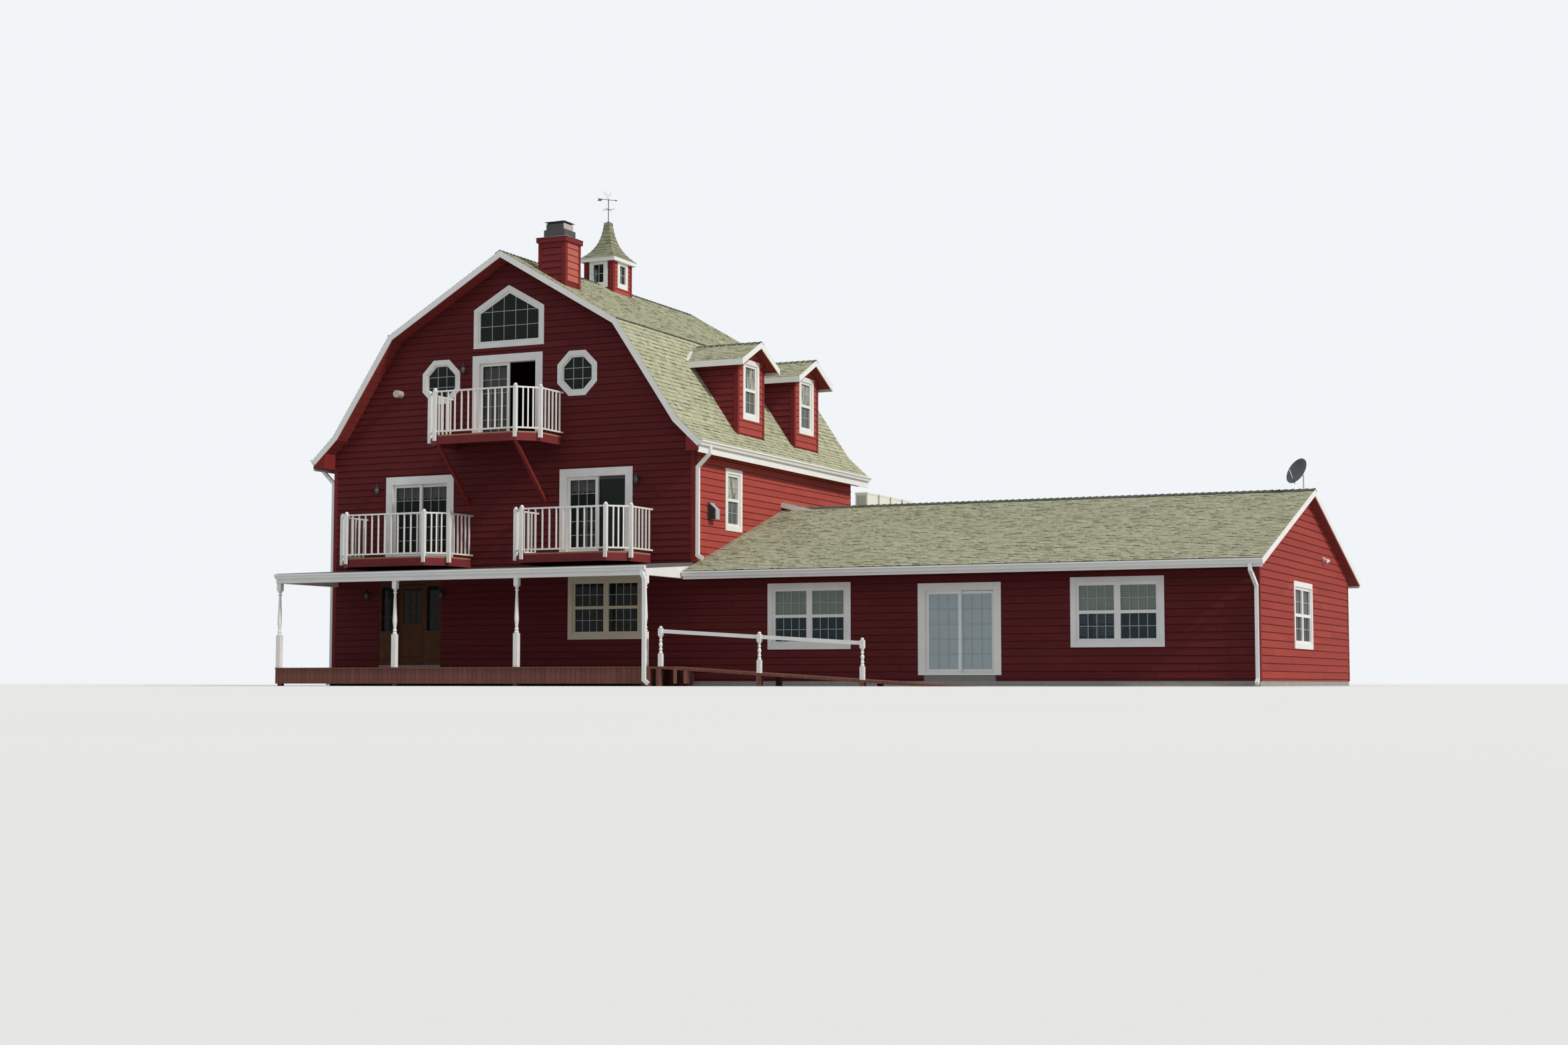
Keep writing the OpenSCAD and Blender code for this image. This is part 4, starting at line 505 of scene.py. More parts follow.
BOX_FACES = np.array([[0, 2, 3, 1], [4, 5, 7, 6], [0, 1, 5, 4], [2, 6, 7, 3], [0, 4, 6, 2], [1, 3, 7, 5]])


def boxes(low, high):
    """Faces of the boxes between the rows of low and of high, pointing outwards. Corner i of a
    box takes its x, y and z from high where bit 0, 1 or 2 of i is set, and from low elsewhere."""
    low, high = np.broadcast_arrays(*(np.atleast_2d(np.asarray(a, float)) for a in (low, high)))
    pick = np.array([[(i >> k) & 1 for k in range(3)] for i in range(8)])
    corners = np.where(pick[None], high[:, None], low[:, None])
    return corners[:, BOX_FACES].reshape(-1, 4, 3)


def rings_joined(rings):
    """Faces between each ring of points and the next: an array (rings, points, 3) in, faces out."""
    after = np.roll(rings, -1, axis=1)
    return np.stack([rings[:-1], after[:-1], after[1:], rings[1:]], 2).reshape(-1, 4, 3)


def on_plane(faces, origin=(0, FRONT_Y, 0), along=(1, 0, 0), up=(0, 0, 1)):
    """Faces in (along, up, out) put on a plane, the front wall where none is given:
    point = origin + faces[0] * along + faces[1] * up + faces[2] * (along x up)."""
    along, up = (np.asarray(v, float) / np.linalg.norm(v) for v in (along, up))
    return np.asarray(origin) + faces @ np.array([along, up, np.cross(along, up)])


print("mesh helpers ready")

# %% [markdown]
# ## Lapped courses
#
# Siding and shingles are the same idea at two scales: courses that overlap, each thick at its
# lower edge and thin at its top. A course is found by walking up the outline of its wall. At
# every height where a course starts or a corner of the outline lies, the wall is cut into level
# strips. Inside one strip all edges are straight, so each strip is a row of trapezoids.


# %% Strips of a wall
def strips(outline, holes, step):
    """Rows (left, right at the foot; left, right at the top; foot, top) of level trapezoids that
    fill the outline without its holes. Crossings of the outline are paired from left to right."""
    rings = [np.asarray(r, float) for r in (outline, *holes)]
    edges = np.concatenate([np.stack([r, np.roll(r, -1, 0)], 1) for r in rings])
    low, high = edges[..., 1].min(), edges[..., 1].max()
    levels = np.unique(np.concatenate([np.arange(0.0, high, step), edges[:, 0, 1]]).round(5))
    levels = levels[(levels >= low - 1e-6) & (levels <= high + 1e-6)]
    found = []
    for foot, top in zip(levels[:-1], levels[1:]):
        middle = (foot + top) / 2
        crossed = edges[(edges[:, 0, 1] - middle) * (edges[:, 1, 1] - middle) < 0]
        a, b = crossed[:, 0], crossed[:, 1]
        slope = (b[:, 0] - a[:, 0]) / (b[:, 1] - a[:, 1])
        at = [a[:, 0] + slope * (z - a[:, 1]) for z in (foot, middle, top)]
        order = np.argsort(at[1])
        order = order[:len(order) // 2 * 2]
        lo, hi = at[0][order], at[2][order]
        found.append(rows(lo[0::2], lo[1::2], hi[0::2], hi[1::2], foot, top))
    found = np.concatenate(found)
    return found[(found[:, 5] - found[:, 4] > 1e-4) & (found[:, 1] - found[:, 0] > 1e-3)]


# %% Courses on a wall
UV_INSET = 0.0004


def lapped(outline, holes, step, thick, thin):
    """Faces and UVs, in (along, up, out), of courses that are thick at their foot and thin at
    their top: out = thick - (thick - thin) * (height above the course's foot) / step. UVs stay a
    little inside their own course, so that no edge takes the colour of the next one."""
    x0, x1, u0, u1, foot, top = strips(outline, holes, step).T
    base = np.floor((foot + top) / 2 / step) * step
    out_low = thick - (thick - thin) * (foot - base) / step
    out_top = thick - (thick - thin) * (top - base) / step
    front = np.stack([rows(x0, foot, out_low), rows(x1, foot, out_low),
                      rows(u1, top, out_top), rows(u0, top, out_top)], 1)
    butt = np.stack([rows(x0, foot, 0.0), rows(x1, foot, 0.0),
                     rows(x1, foot, out_low), rows(x0, foot, out_low)], 1)[np.abs(foot - base) < 1e-4]
    faces = np.concatenate([front, butt])
    uv = faces[..., :2].copy()
    uv[:len(front), :2, 1] += UV_INSET
    uv[:len(front), 2:, 1] -= UV_INSET
    uv[len(front):, :, 1] += UV_INSET
    return faces, uv


print("lap helpers ready")

# %% [markdown]
# ## Outlines of the walls
#
# A wall is an outline with holes, as points (along, up). The gable's outline follows the soffit,
# which is the line of the roof moved down by its thickness. The holes are a little smaller than
# the casings, so that the boards run behind them.


# %% Shapes of outlines
GLASS_EDGE = 0.13


def rect(x0, z0, x1, z1):
    """Corners of a rectangle, from (x0, z0) along and up."""
    return [(x0, z0), (x1, z0), (x1, z1), (x0, z1)]


def window_holes(windows):
    """Glass openings of double-hung windows inside their casings."""
    return [rect(middle - width / 2 + GLASS_EDGE, sill + GLASS_EDGE,
                 middle + width / 2 - GLASS_EDGE, sill + WIN_H - GLASS_EDGE)
            for middle, sill, width in windows]


def octagon(x, z, width):
    """Corners at 22.5 degrees and every 45 after it, at width / 2 / cos(22.5) from the middle."""
    turns = np.radians(22.5 + 45 * np.arange(8))
    r = width / 2 / math.cos(math.radians(22.5))
    return np.column_stack([x + r * np.cos(turns), z + r * np.sin(turns)])


def mirrored(points):
    """The same outline seen from behind: (x, z) becomes (-x, z)."""
    return [(-x, z) for x, z in points]


def inward(a, b):
    """Unit normal that points down into the roof from the line a to b."""
    d = np.subtract(b, a) / np.linalg.norm(np.subtract(b, a))
    return np.array([d[1], -d[0]])


def under(points, t):
    """The roof's line moved down by its thickness t, with mitred corners."""
    normals = [inward(a, b) for a, b in zip(points[:-1], points[1:])]
    moved = [np.array([0.0, points[0][1] - t / abs(normals[0][1])])]
    for p, m, n in zip(points[1:-1], normals[:-1], normals[1:]):
        moved.append(np.array(p) + t * (m + n) / (1 + m @ n))
    return moved, np.array(points[-1]) + t * normals[-1]


# %% The gable and its holes
SOFFIT, SOFFIT_TIP = under([RIDGE, KINK, FLARE, EAVE], ROOF_T)
SOFFIT_WALL = line_at(SOFFIT[2], SOFFIT_TIP, HALF_W)
half = [(HALF_W, WALL_FOOT), (HALF_W, SOFFIT_WALL), tuple(SOFFIT[2]), tuple(SOFFIT[1])]
GABLE = [*half, tuple(SOFFIT[0]), *mirrored(reversed(half))]
GABLE_WINDOW = [(-0.95, 8.96), (0.95, 8.96), (0.95, 9.80), (0.0, 10.33), (-0.95, 9.80)]
OCTAGON_XS, OCTAGON_Z = (-2.07, 2.07), 8.025
door_holes = [rect(x - DOOR_W / 2 + 0.02, z, x + DOOR_W / 2 - 0.02, z + DOOR_H)
              for x, z in (DOORS["left"], DOORS["right"], DOORS["attic"])]
entry_hole = rect(ENTRY_X - ENTRY_W / 2, WALL_FOOT, ENTRY_X + ENTRY_W / 2, FLOORS["ground"] + ENTRY_H)
front_holes = [entry_hole, *window_holes(FRONT_WINDOWS), *door_holes, GABLE_WINDOW,
               *[octagon(x, OCTAGON_Z, 0.93) for x in OCTAGON_XS]]
print("gable outline:", [tuple(np.round(p, 3)) for p in GABLE])

# %% [markdown]
# ## Siding on the main house
#
# The boards on the real house are bevelled boards nailed over each other: about 175 mm of each
# one shows, and its lower edge stands some 20 mm off the wall. Board ends meet in tight joints
# that the finish draws. The boards run behind the casings and corner boards, as real ones do.


# %% Wall boards
THICK, THIN, SUNNY, WALL_APART = 0.020, 0.004, (0, 1, 0), 40.0


def siding(name, walls, step=SIDING_STEP, shaded=SIDING, painted_sunlit=SUNLIT_SIDING):
    """Boards on walls, each (outline, holes, origin, direction along it). Walls that run along +Y
    look along +X, into the key light, and go into a piece of their own with paler reds, painted
    sunlight. Each wall reads another part of the pattern."""
    for sunny in (False, True):
        faces, uvs = [], []
        for number, (outline, holes, origin, along) in enumerate(walls):
            if (along == SUNNY) == sunny:
                made, uv = lapped(outline, holes, step, THICK, THIN)
                faces.append(on_plane(made, origin, along))
                uvs.append(uv + [WALL_APART * number, 0.0])
        if faces:
            piece("sunny_" * sunny + name, np.concatenate(faces), painted_sunlit if sunny else shaded,
                  np.concatenate(uvs))


siding("front_siding", [(GABLE, front_holes, (0, FRONT_Y, 0), (1, 0, 0))])
siding("back_siding", [(GABLE, window_holes(BACK_WINDOWS), (0, BACK_Y, 0), (-1, 0, 0))])
above_wing = [(FRONT_Y, WING_EAVE + 0.2), (WING_MID, WING_RIDGE - 0.05), (BACK_Y, 3.25),
              (BACK_Y, SOFFIT_WALL), (FRONT_Y, SOFFIT_WALL)]
siding("side_siding", [
    (rect(FRONT_Y, WALL_FOOT, BACK_Y, SOFFIT_WALL), window_holes(SIDE_WINDOWS),
     (-HALF_W, 0, 0), (0, -1, 0)),
    (above_wing, window_holes(SUNNY_WINDOWS), (HALF_W, 0, 0), SUNNY),
])

# %% Wing boards
WING_ROOF_T = 0.158
wing_top = WING_EAVE - WING_ROOF_T + WING_SLOPE * WING_OVER
wing_end = [(FRONT_Y, WING_FOOT), (WING_BACK, WING_FOOT), (WING_BACK, wing_top),
            (WING_MID, WING_RIDGE - WING_ROOF_T), (FRONT_Y, wing_top)]
patio_hole = rect(11.55, WING_FOOT, 13.34, FLOORS["wing"] + DOOR_H)
# The wing's end faces the key light and gets paler reds of its own: painted sunlight.
siding("wing_siding", [
    (rect(HALF_W, WING_FOOT, WING_X, wing_top), [*window_holes(WING_FRONT_WINDOWS), patio_hole],
     (0, FRONT_Y, 0), (1, 0, 0)),
    (rect(-WING_X, WING_FOOT, -HALF_W, wing_top), window_holes(WING_BACK_WINDOWS),
     (0, WING_BACK, 0), (-1, 0, 0)),
    (wing_end, window_holes(WING_END_WINDOWS), (WING_X, 0, 0), SUNNY),
    (rect(-WING_BACK, WING_FOOT, -BACK_Y, 4.6), [], (HALF_W, 0, 0), (0, -1, 0)),
], painted_sunlit=SUNLIT_WING_END_SIDING)

# %% [markdown]
# ## Siding on the dormers, the chimney and the cupola
#
# The dormers and the chimney have boards about as wide as those of the walls, and the cupola has
# narrower ones, about 120 mm. A dormer's cheek is a triangle that ends where it meets the slope
# of the main roof, so its outline follows that slope.


# %% Dormer boards
def slope_x(z):
    """Distance from the middle of the main roof's lower slope at height z."""
    return line_at((KINK[1], KINK[0]), (FLARE[1], FLARE[0]), z)


dormer_top = DORMER_RIDGE - DORMER_SLOPE * DORMER_HALF_W - 0.10
dormer_foot = line_at(FLARE, EAVE, DORMER_X)
dormer_front = [(-DORMER_HALF_W, dormer_foot), (DORMER_HALF_W, dormer_foot), (DORMER_HALF_W, dormer_top),
                (0.0, DORMER_RIDGE - 0.10), (-DORMER_HALF_W, dormer_top)]
cheek = [(slope_x(dormer_top), dormer_top), FLARE, (DORMER_X, dormer_foot), (DORMER_X, dormer_top)]
dormer_walls = []
for side, y in DORMERS:
    near, far = (cheek, mirrored(cheek)) if side > 0 else (mirrored(cheek), cheek)
    dormer_walls += [
        (dormer_front, window_holes(DORMER_WINDOWS), (side * DORMER_X, y, 0), (0, side, 0)),
        (near, [], (0, y - DORMER_HALF_W, 0), (1, 0, 0)),
        (far, [], (0, y + DORMER_HALF_W, 0), (-1, 0, 0)),
    ]
siding("dormer_siding", dormer_walls, DORMER_STEP, DORMER_SIDING, SUNLIT_DORMER_SIDING)

# %% Chimney and cupola boards
CHIMNEY_X, CHIMNEY_Y, CHIMNEY_TOP = (0.85, 1.63), (-4.92, -4.17), 11.52
(x0, x1), (y0, y1) = CHIMNEY_X, CHIMNEY_Y
foot_left, foot_right = (line_at(RIDGE, KINK, x) for x in CHIMNEY_X)
chimney_front = [(x0, foot_left), (x1, foot_right), (x1, CHIMNEY_TOP), (x0, CHIMNEY_TOP)]
# The chimney's side towards the key light gets paler reds of its own: painted sunlight.
siding("chimney_siding", [
    (chimney_front, [], (0, y0, 0), (1, 0, 0)),
    (mirrored(chimney_front), [], (0, y1, 0), (-1, 0, 0)),
    (rect(y0, foot_right, y1, CHIMNEY_TOP), [], (x1, 0, 0), SUNNY),
    (rect(-y1, foot_left, -y0, CHIMNEY_TOP), [], (x0, 0, 0), (0, -1, 0)),
], shaded=CHIMNEY_SIDING, painted_sunlit=SUNLIT_CHIMNEY_SIDING)

CUPOLA_Y, CUPOLA_TOP, half_x, half_y = 0.25, 11.93, 0.45, 0.53
cupola_foot = line_at(RIDGE, KINK, half_x)
cupola_hole = rect(-0.2, 11.31, 0.2, 11.87)
cupola_face = [(-half_x, cupola_foot), RIDGE, (half_x, cupola_foot),
               (half_x, CUPOLA_TOP), (-half_x, CUPOLA_TOP)]
cupola_side = rect(-half_y, cupola_foot, half_y, CUPOLA_TOP)
siding("cupola_siding", [
    (cupola_face, [cupola_hole], (0, CUPOLA_Y - half_y, 0), (1, 0, 0)),
    (cupola_face, [cupola_hole], (0, CUPOLA_Y + half_y, 0), (-1, 0, 0)),
    (cupola_side, [cupola_hole], (half_x, CUPOLA_Y, 0), SUNNY),
    (cupola_side, [cupola_hole], (-half_x, CUPOLA_Y, 0), (0, -1, 0)),
], CUPOLA_STEP, CUPOLA_SIDING, SUNLIT_CUPOLA_SIDING)

# %% [markdown]
# ## Shingles on every slope
#
# A roof slope is a wall that leans. The same lap helper covers it, with courses 143 mm apart and
# a butt of about 10 mm. Laminated shingles also have short raised tabs of uneven width, which
# give the roof its broken shadow lines, so a second layer of small plates is scattered on it.


# %% Shingles of a slope
BUTT, FEATHER, TAB_T = 0.010, 0.002, 0.006
SLOPE_APART, PLATE_APART = 50.0, 0.07


def tabs(found):
    """Raised plates of random width on the lower part of each course, as boxes without a back."""
    made = []
    for left, right, _, _, foot, top in found[(found[:, 5] - found[:, 4] > 0.1)]:
        count = int((right - left) / (1.35 * TAB_W))
        if count < 1:
            continue
        edges = left + 0.02 + np.sort(rng.random(2 * count)) * (right - left - 0.04)
        a, b = edges[0::2], edges[1::2]
        keep = (b - a > 0.05) & (b - a < 0.5)
        made.append(rows(a[keep], b[keep], foot, top))
    a, b, foot, top = np.concatenate(made).T
    low, high = foot - 0.002, foot + (top - foot) * 0.97
    out_low, out_high = BUTT + TAB_T, FEATHER + TAB_T * 0.4
    face = [rows(a, low, out_low), rows(b, low, out_low), rows(b, high, out_high), rows(a, high, out_high)]
    back = [rows(a, low, 0.0), rows(b, low, 0.0), rows(b, high, 0.0), rows(a, high, 0.0)]
    corners = face + back
    return np.concatenate([np.stack([corners[i] for i in pick], 1) for pick in (
        (0, 1, 2, 3), (4, 5, 1, 0), (5, 6, 2, 1), (7, 4, 0, 3))])


def shingled(name, slopes):
    """Shingles on slopes, each (outline, holes, origin, along the eave, up the slope). Each slope,
    and the raised plates on it, read other parts of the pattern."""
    faces, uvs = [], []
    for number, (outline, holes, origin, along, up) in enumerate(slopes):
        laps, uv = lapped(outline, holes, SHINGLE_STEP, BUTT, FEATHER)
        plates = tabs(strips(outline, holes, SHINGLE_STEP))
        faces.append(on_plane(np.concatenate([laps, plates]), origin, along, up))
        uvs.append(np.concatenate([uv, plates[..., :2] + [PLATE_APART, 0.0]]) + [SLOPE_APART * number, 0.0])
    piece(name, np.concatenate(faces), SHINGLES, np.concatenate(uvs))


# %% Shingles of the main roof
ROOF_END = RAKE_Y - 0.004
DORMER_GAP, DORMER_GAP_TOP = 0.68, 8.45


def slope_up(lower, upper, side):
    """Direction up a main slope in 3-D and its length."""
    d = np.array([side * (upper[0] - lower[0]), 0.0, upper[1] - lower[1]])
    return d, np.linalg.norm(d)


for side, name in ((1, "right_roof_shingles"), (-1, "left_roof_shingles")):
    slopes = []
    for lower, upper in ((KINK, RIDGE), (FLARE, KINK), (EAVE, FLARE)):
        up, length = slope_up(lower, upper, side)
        holes = []
        if upper is KINK:
            reach = (DORMER_GAP_TOP - lower[1]) / (upper[1] - lower[1]) * length
            holes = [rect(side * y - DORMER_GAP, 0.0, side * y + DORMER_GAP, reach) for y in DORMER_YS]
        slopes.append((rect(-ROOF_END, 0, ROOF_END, length), holes, (side * lower[0], 0, lower[1]),
                       (0, side, 0), up))
    shingled(name, slopes)

# %% Shingles of the dormers
dormer_length = math.hypot(DORMER_REACH, DORMER_SLOPE * DORMER_REACH)
dormer_slope = [(slope_x(DORMER_EAVE), 0), (DORMER_FRONT - 0.003, 0), (DORMER_FRONT - 0.003, dormer_length),
                (slope_x(DORMER_RIDGE), dormer_length)]
DORMER_SIDES = [(side, y, turn) for side, y in DORMERS for turn in (1, -1)]
shingled("dormer_shingles", [
    ([(side * turn * x, v) for x, v in dormer_slope], [],
     (0, y - turn * DORMER_REACH, DORMER_EAVE), (turn, 0, 0), (0, turn / DORMER_SLOPE, 1.0))
    for side, y, turn in DORMER_SIDES])

# %% Shingles of the wing and of the low roof behind it
wing_up, wing_far = math.hypot(WING_RUN, WING_RIDGE - WING_EAVE), WING_X + WING_RAKE - 0.004
LOW_OUT, LOW_RUN, LOW_SLOPE, LOW_TOP = 8.45, 3.0, 0.25, 4.97
low_plan = [(5.45, 0.13), (6.483, 0.13), (6.13, 0.40), (8.45, 2.172), (8.45, 5.975), (5.45, 5.975)]
low_length = math.hypot(LOW_RUN, LOW_SLOPE * LOW_RUN)
low_outline = [(y, (LOW_OUT - x) / LOW_RUN * low_length) for x, y in low_plan]
shingled("wing_shingles", [
    (rect(HALF_W, 0, wing_far, wing_up), [],
     (0, WING_MID - WING_RUN, WING_EAVE), (1, 0, 0), (0, 1, WING_SLOPE)),
    (rect(-wing_far, 0, -HALF_W, wing_up), [],
     (0, WING_MID + WING_RUN, WING_EAVE), (-1, 0, 0), (0, -1, WING_SLOPE)),
    (low_outline, [], (LOW_OUT, 0, LOW_TOP - LOW_SLOPE * LOW_RUN), (0, 1, 0), (-1, 0, LOW_SLOPE)),
])

# %% [markdown]
# ## Boards and edges along the roofs
#
# A wide white board hangs behind each main gutter and covers the end of the eave box, and the
# wing's gutters have narrow ones. Where the steep slope starts, the last course of the upper
# slope hangs over it. Its thick edge is made of the darkest shingles, so it draws a dark line
# along the whole roof: painted shadow of the overhang. The dormers have a board at each front
# corner, and a white one where the overhang of their roof runs into the main slope.


# %% Eave boards and overhanging courses
EAVE_X, EAVE_Z = (5.788, 5.8165), (5.775, 5.957)
WING_EAVE_X, WING_EAVE_Z = (HALF_W + 0.002, WING_X + 0.2155), (2.622, 2.693)
near, far = WING_OVER - 0.026, WING_OVER + 0.0015
board_ends = [((EAVE_X[0], -RAKE_Y, EAVE_Z[0]), (EAVE_X[1], RAKE_Y, EAVE_Z[1])),
              ((-EAVE_X[1], -RAKE_Y, EAVE_Z[0]), (-EAVE_X[0], RAKE_Y, EAVE_Z[1]))]
board_ends += [((WING_EAVE_X[0], y0, WING_EAVE_Z[0]), (WING_EAVE_X[1], y1, WING_EAVE_Z[1]))
               for y0, y1 in ((FRONT_Y - far, FRONT_Y - near), (WING_BACK + near, WING_BACK + far))]
piece("eave_boards", boxes(*zip(*board_ends)), WHITE_PAINT)

EDGE_DROP, EDGE_RISE, EDGE_T = 0.022, 0.006, 0.028
edge = boxes((-ROOF_END, -EDGE_DROP, 0.001), (ROOF_END, EDGE_RISE, EDGE_T))
edge_faces = [on_plane(edge, (side * KINK[0], 0, KINK[1]), (0, side, 0), slope_up(KINK, RIDGE, side)[0])
              for side in (1, -1)]
edge_uv = np.tile(edge[..., :2] + [0.0, 0.5 * SHINGLE_STEP], (2, 1, 1))
# The edge is in the darkest shingles: painted shadow of the overhang at the kink.
piece("overhanging_courses", np.concatenate(edge_faces), CAP_SHINGLES, edge_uv)


# %% Corner boards and valley boards of the dormers
CORNER_OUT, CORNER_W, CORNER_T = DORMER_HALF_W + 0.02, 0.10, 0.024
corner_foot, corner_top = line_at(FLARE, EAVE, DORMER_X + CORNER_T) + 0.003, 8.585
corners = boxes([(-CORNER_OUT, corner_foot, 0.0), (CORNER_OUT - CORNER_W, corner_foot, 0.0)],
                [(-CORNER_OUT + CORNER_W, corner_top, CORNER_T), (CORNER_OUT, corner_top, CORNER_T)])
piece("dormer_corner_boards",
      [on_plane(corners, (side * DORMER_X, y, 0), (0, side, 0)) for side, y in DORMERS],
      RED_BOARDS)


def slabs(quads, lift):
    """Faces of slabs: each quad and the same quad moved by its lift, with the four sides between."""
    quads, lift = np.asarray(quads, float), np.asarray(lift, float)
    normal = np.cross(quads[:, 1] - quads[:, 0], quads[:, 3] - quads[:, 0])
    wrong = (normal * lift).sum(1) < 0
    quads = np.where(wrong[:, None, None], quads[:, ::-1], quads)
    high = quads + lift[:, None]
    sides = np.stack([quads, np.roll(quads, -1, 1), np.roll(high, -1, 1), high], 2).reshape(-1, 4, 3)
    return np.concatenate([quads[:, ::-1], high, sides])


VALLEY_SHARE, VALLEY_W, VALLEY_T = 0.62, 0.08, 0.032
DORMER_NORMAL = (0.4472, 0.8944)
valleys, lifts = [], []
for side, y, turn in DORMER_SIDES:
    foot = np.array([side * slope_x(DORMER_EAVE), y - turn * DORMER_REACH, DORMER_EAVE])
    head = foot + VALLEY_SHARE * (np.array([side * slope_x(DORMER_RIDGE), y, DORMER_RIDGE]) - foot)
    wide = np.array([side * VALLEY_W, 0, 0])
    valleys.append([foot, foot + wide, head + wide, head])
    lifts.append([0, -turn * DORMER_NORMAL[0] * VALLEY_T, DORMER_NORMAL[1] * VALLEY_T])
piece("valley_boards", slabs(valleys, lifts), WHITE_PAINT)

# %% [markdown]
# ## The spire of the cupola
#
# The cupola's roof is a square spire that sweeps out like a bell at its foot. A row of shingles
# follows the sweep, so each course is a square ring, pushed out by the thickness of its butt. The
# rings are found by walking up the curve by equal lengths, which keeps the courses even where the
# curve is flat and where it is steep.


# %% Courses round the spire
SPIRE_FOOT, SPIRE_H, SPIRE_TIP, SPIRE_FACETS, SPIRE_STEP = 12.04, 1.10, 0.05, 12, 0.115
CORNICE_HALF = (0.56, 0.64)


def spire_half(share, half):
    """Half width at a share of the height: tip + (half - tip) * exp(-2.7 * share), on the straight
    facets that the solid has."""
    knots = np.linspace(0, 1, SPIRE_FACETS + 1)
    return np.interp(share, knots, SPIRE_TIP + (half - SPIRE_TIP) * np.exp(-2.7 * knots))


def spire():
    """Faces and UVs of square rings. Each course has four of them, at its foot, its butt, its
    middle and its top, pushed out by 3, 14, 7 and 3 mm, less towards the tip."""
    fine = np.linspace(0, 1, 400)
    lengths = np.hypot(np.diff(spire_half(fine, CORNICE_HALF[0])), SPIRE_H * np.diff(fine))
    walked = np.concatenate([[0], np.cumsum(lengths)])
    feet = np.arange(0, walked[-1], SPIRE_STEP)
    tops = np.append(feet[1:], walked[-1])
    length = np.column_stack([feet, feet, (feet + tops) / 2, tops]).ravel()
    share = np.interp(length, walked, fine)
    out = np.tile([0.003, BUTT + 0.004, 0.007, 0.003], len(feet)) * (1 - 0.6 * share)
    x, y = (spire_half(share, half) + out for half in CORNICE_HALF)
    z = SPIRE_FOOT + SPIRE_H * share
    rings = np.stack([rows(sx * x, CUPOLA_Y + sy * y, z) for sx, sy in rect(-1, -1, 1, 1)], 1)
    wide = np.stack([x, y, x, y], 1)
    v = (length + np.tile([0, UV_INSET, 0, -UV_INSET], len(feet)))[:, None] * np.ones(4)
    v *= SHINGLE_STEP / SPIRE_STEP
    turn = 3.0 * np.arange(4)
    uv = np.stack([np.stack([turn + sign * wide[part], v[part]], -1) for sign, part in (
        (-1, slice(None, -1)), (1, slice(None, -1)), (1, slice(1, None)), (-1, slice(1, None)))], 2)
    return rings_joined(rings), uv.reshape(-1, 4, 2)


faces, uv = spire()
piece("spire_shingles", faces, SPIRE_SHINGLES, uv)

# %% [markdown]
# ## Ridge caps
#
# A ridge is closed with single shingles bent over it, each lapping the last, so from the side it
# looks like a row of small dark teeth. One cap is a pair of sloping faces, thick at its open end.


# %% Caps along the ridges
CAP_STEP, CAP_HALF, UPPER_SLOPE = 0.17, 0.15, 0.5855


def caps(start, end, slope, near=0.004, far=0.022, half=CAP_HALF):
    """Caps from start to end; slope is the fall of the roof on both sides for each metre across.
    The height above the roof grows from near to far over each cap, and half is its half width."""
    start, end = np.asarray(start, float), np.asarray(end, float)
    length = np.linalg.norm(end - start)
    along = (end - start) / length
    across = np.cross(along, (0, 0, 1.0))
    feet = np.linspace(0, length, int(length / CAP_STEP) + 1)[:, None]
    low_a, low_b = start + feet[:-1] * along, start + feet[1:] * along
    lift = math.hypot(1.0, slope)
    top_a, top_b = low_a + [0, 0, near * lift], low_b + [0, 0, far * lift]
    made = []
    for side in (1, -1):
        edge = side * half * across + np.array([0, 0, -slope * half])
        for quad in ((top_a, top_b, top_b + edge, top_a + edge),
                     (top_a + edge, top_b + edge, low_b + edge, low_a + edge),
                     (top_b, low_b, low_b + edge, top_b + edge)):
            made.append(np.stack(quad if side < 0 else quad[::-1], 1))
    return np.concatenate(made)


def cap_uv(count):
    """A patch in the lower part of one course, shifted by a tab's width for each face."""
    patch = np.array([[0.0, 0.01], [0.1, 0.01], [0.1, 0.1], [0.0, 0.1]])
    return patch + TAB_W * np.arange(count)[:, None, None]


cap_sets = [
    caps((0, RAKE_Y, RIDGE[1]), (0, CUPOLA_Y + half_y + 0.05, RIDGE[1]), UPPER_SLOPE),
    caps((0, CUPOLA_Y - half_y - 0.05, RIDGE[1]), (0, -RAKE_Y, RIDGE[1]), UPPER_SLOPE),
    caps((HALF_W + 0.02, WING_MID, WING_RIDGE), (WING_X + WING_RAKE, WING_MID, WING_RIDGE), WING_SLOPE,
         0.014, 0.036, 0.19),
    *[caps((side * (slope_x(DORMER_RIDGE) + 0.12), y, DORMER_RIDGE), (side * DORMER_FRONT, y, DORMER_RIDGE),
           DORMER_SLOPE) for side, y in DORMERS],
]
# The caps are in the darkest shingles: painted shade along the ridges.
piece("ridge_caps", np.concatenate(cap_sets), CAP_SHINGLES,
      np.concatenate([cap_uv(len(made)) for made in cap_sets]))

# %% [markdown]
# ## Window bars
#
# Each sash has slim bars that divide its pane into a grid. On the real windows they lie between
# two panes, which makes them look greyer than the sash, so they are given a greyer colour here:
# painted shade of the glass over them. A grid of bars is a list of boxes between two corners,
# worked out in the plane of the wall: along it, up it and out of it.


# %% Bars on a grid
BAR_W, BAR_OUT = 0.014, (-0.044, -0.031)
CASING, SASH, PANE_H = 0.12, 0.075, 0.5725


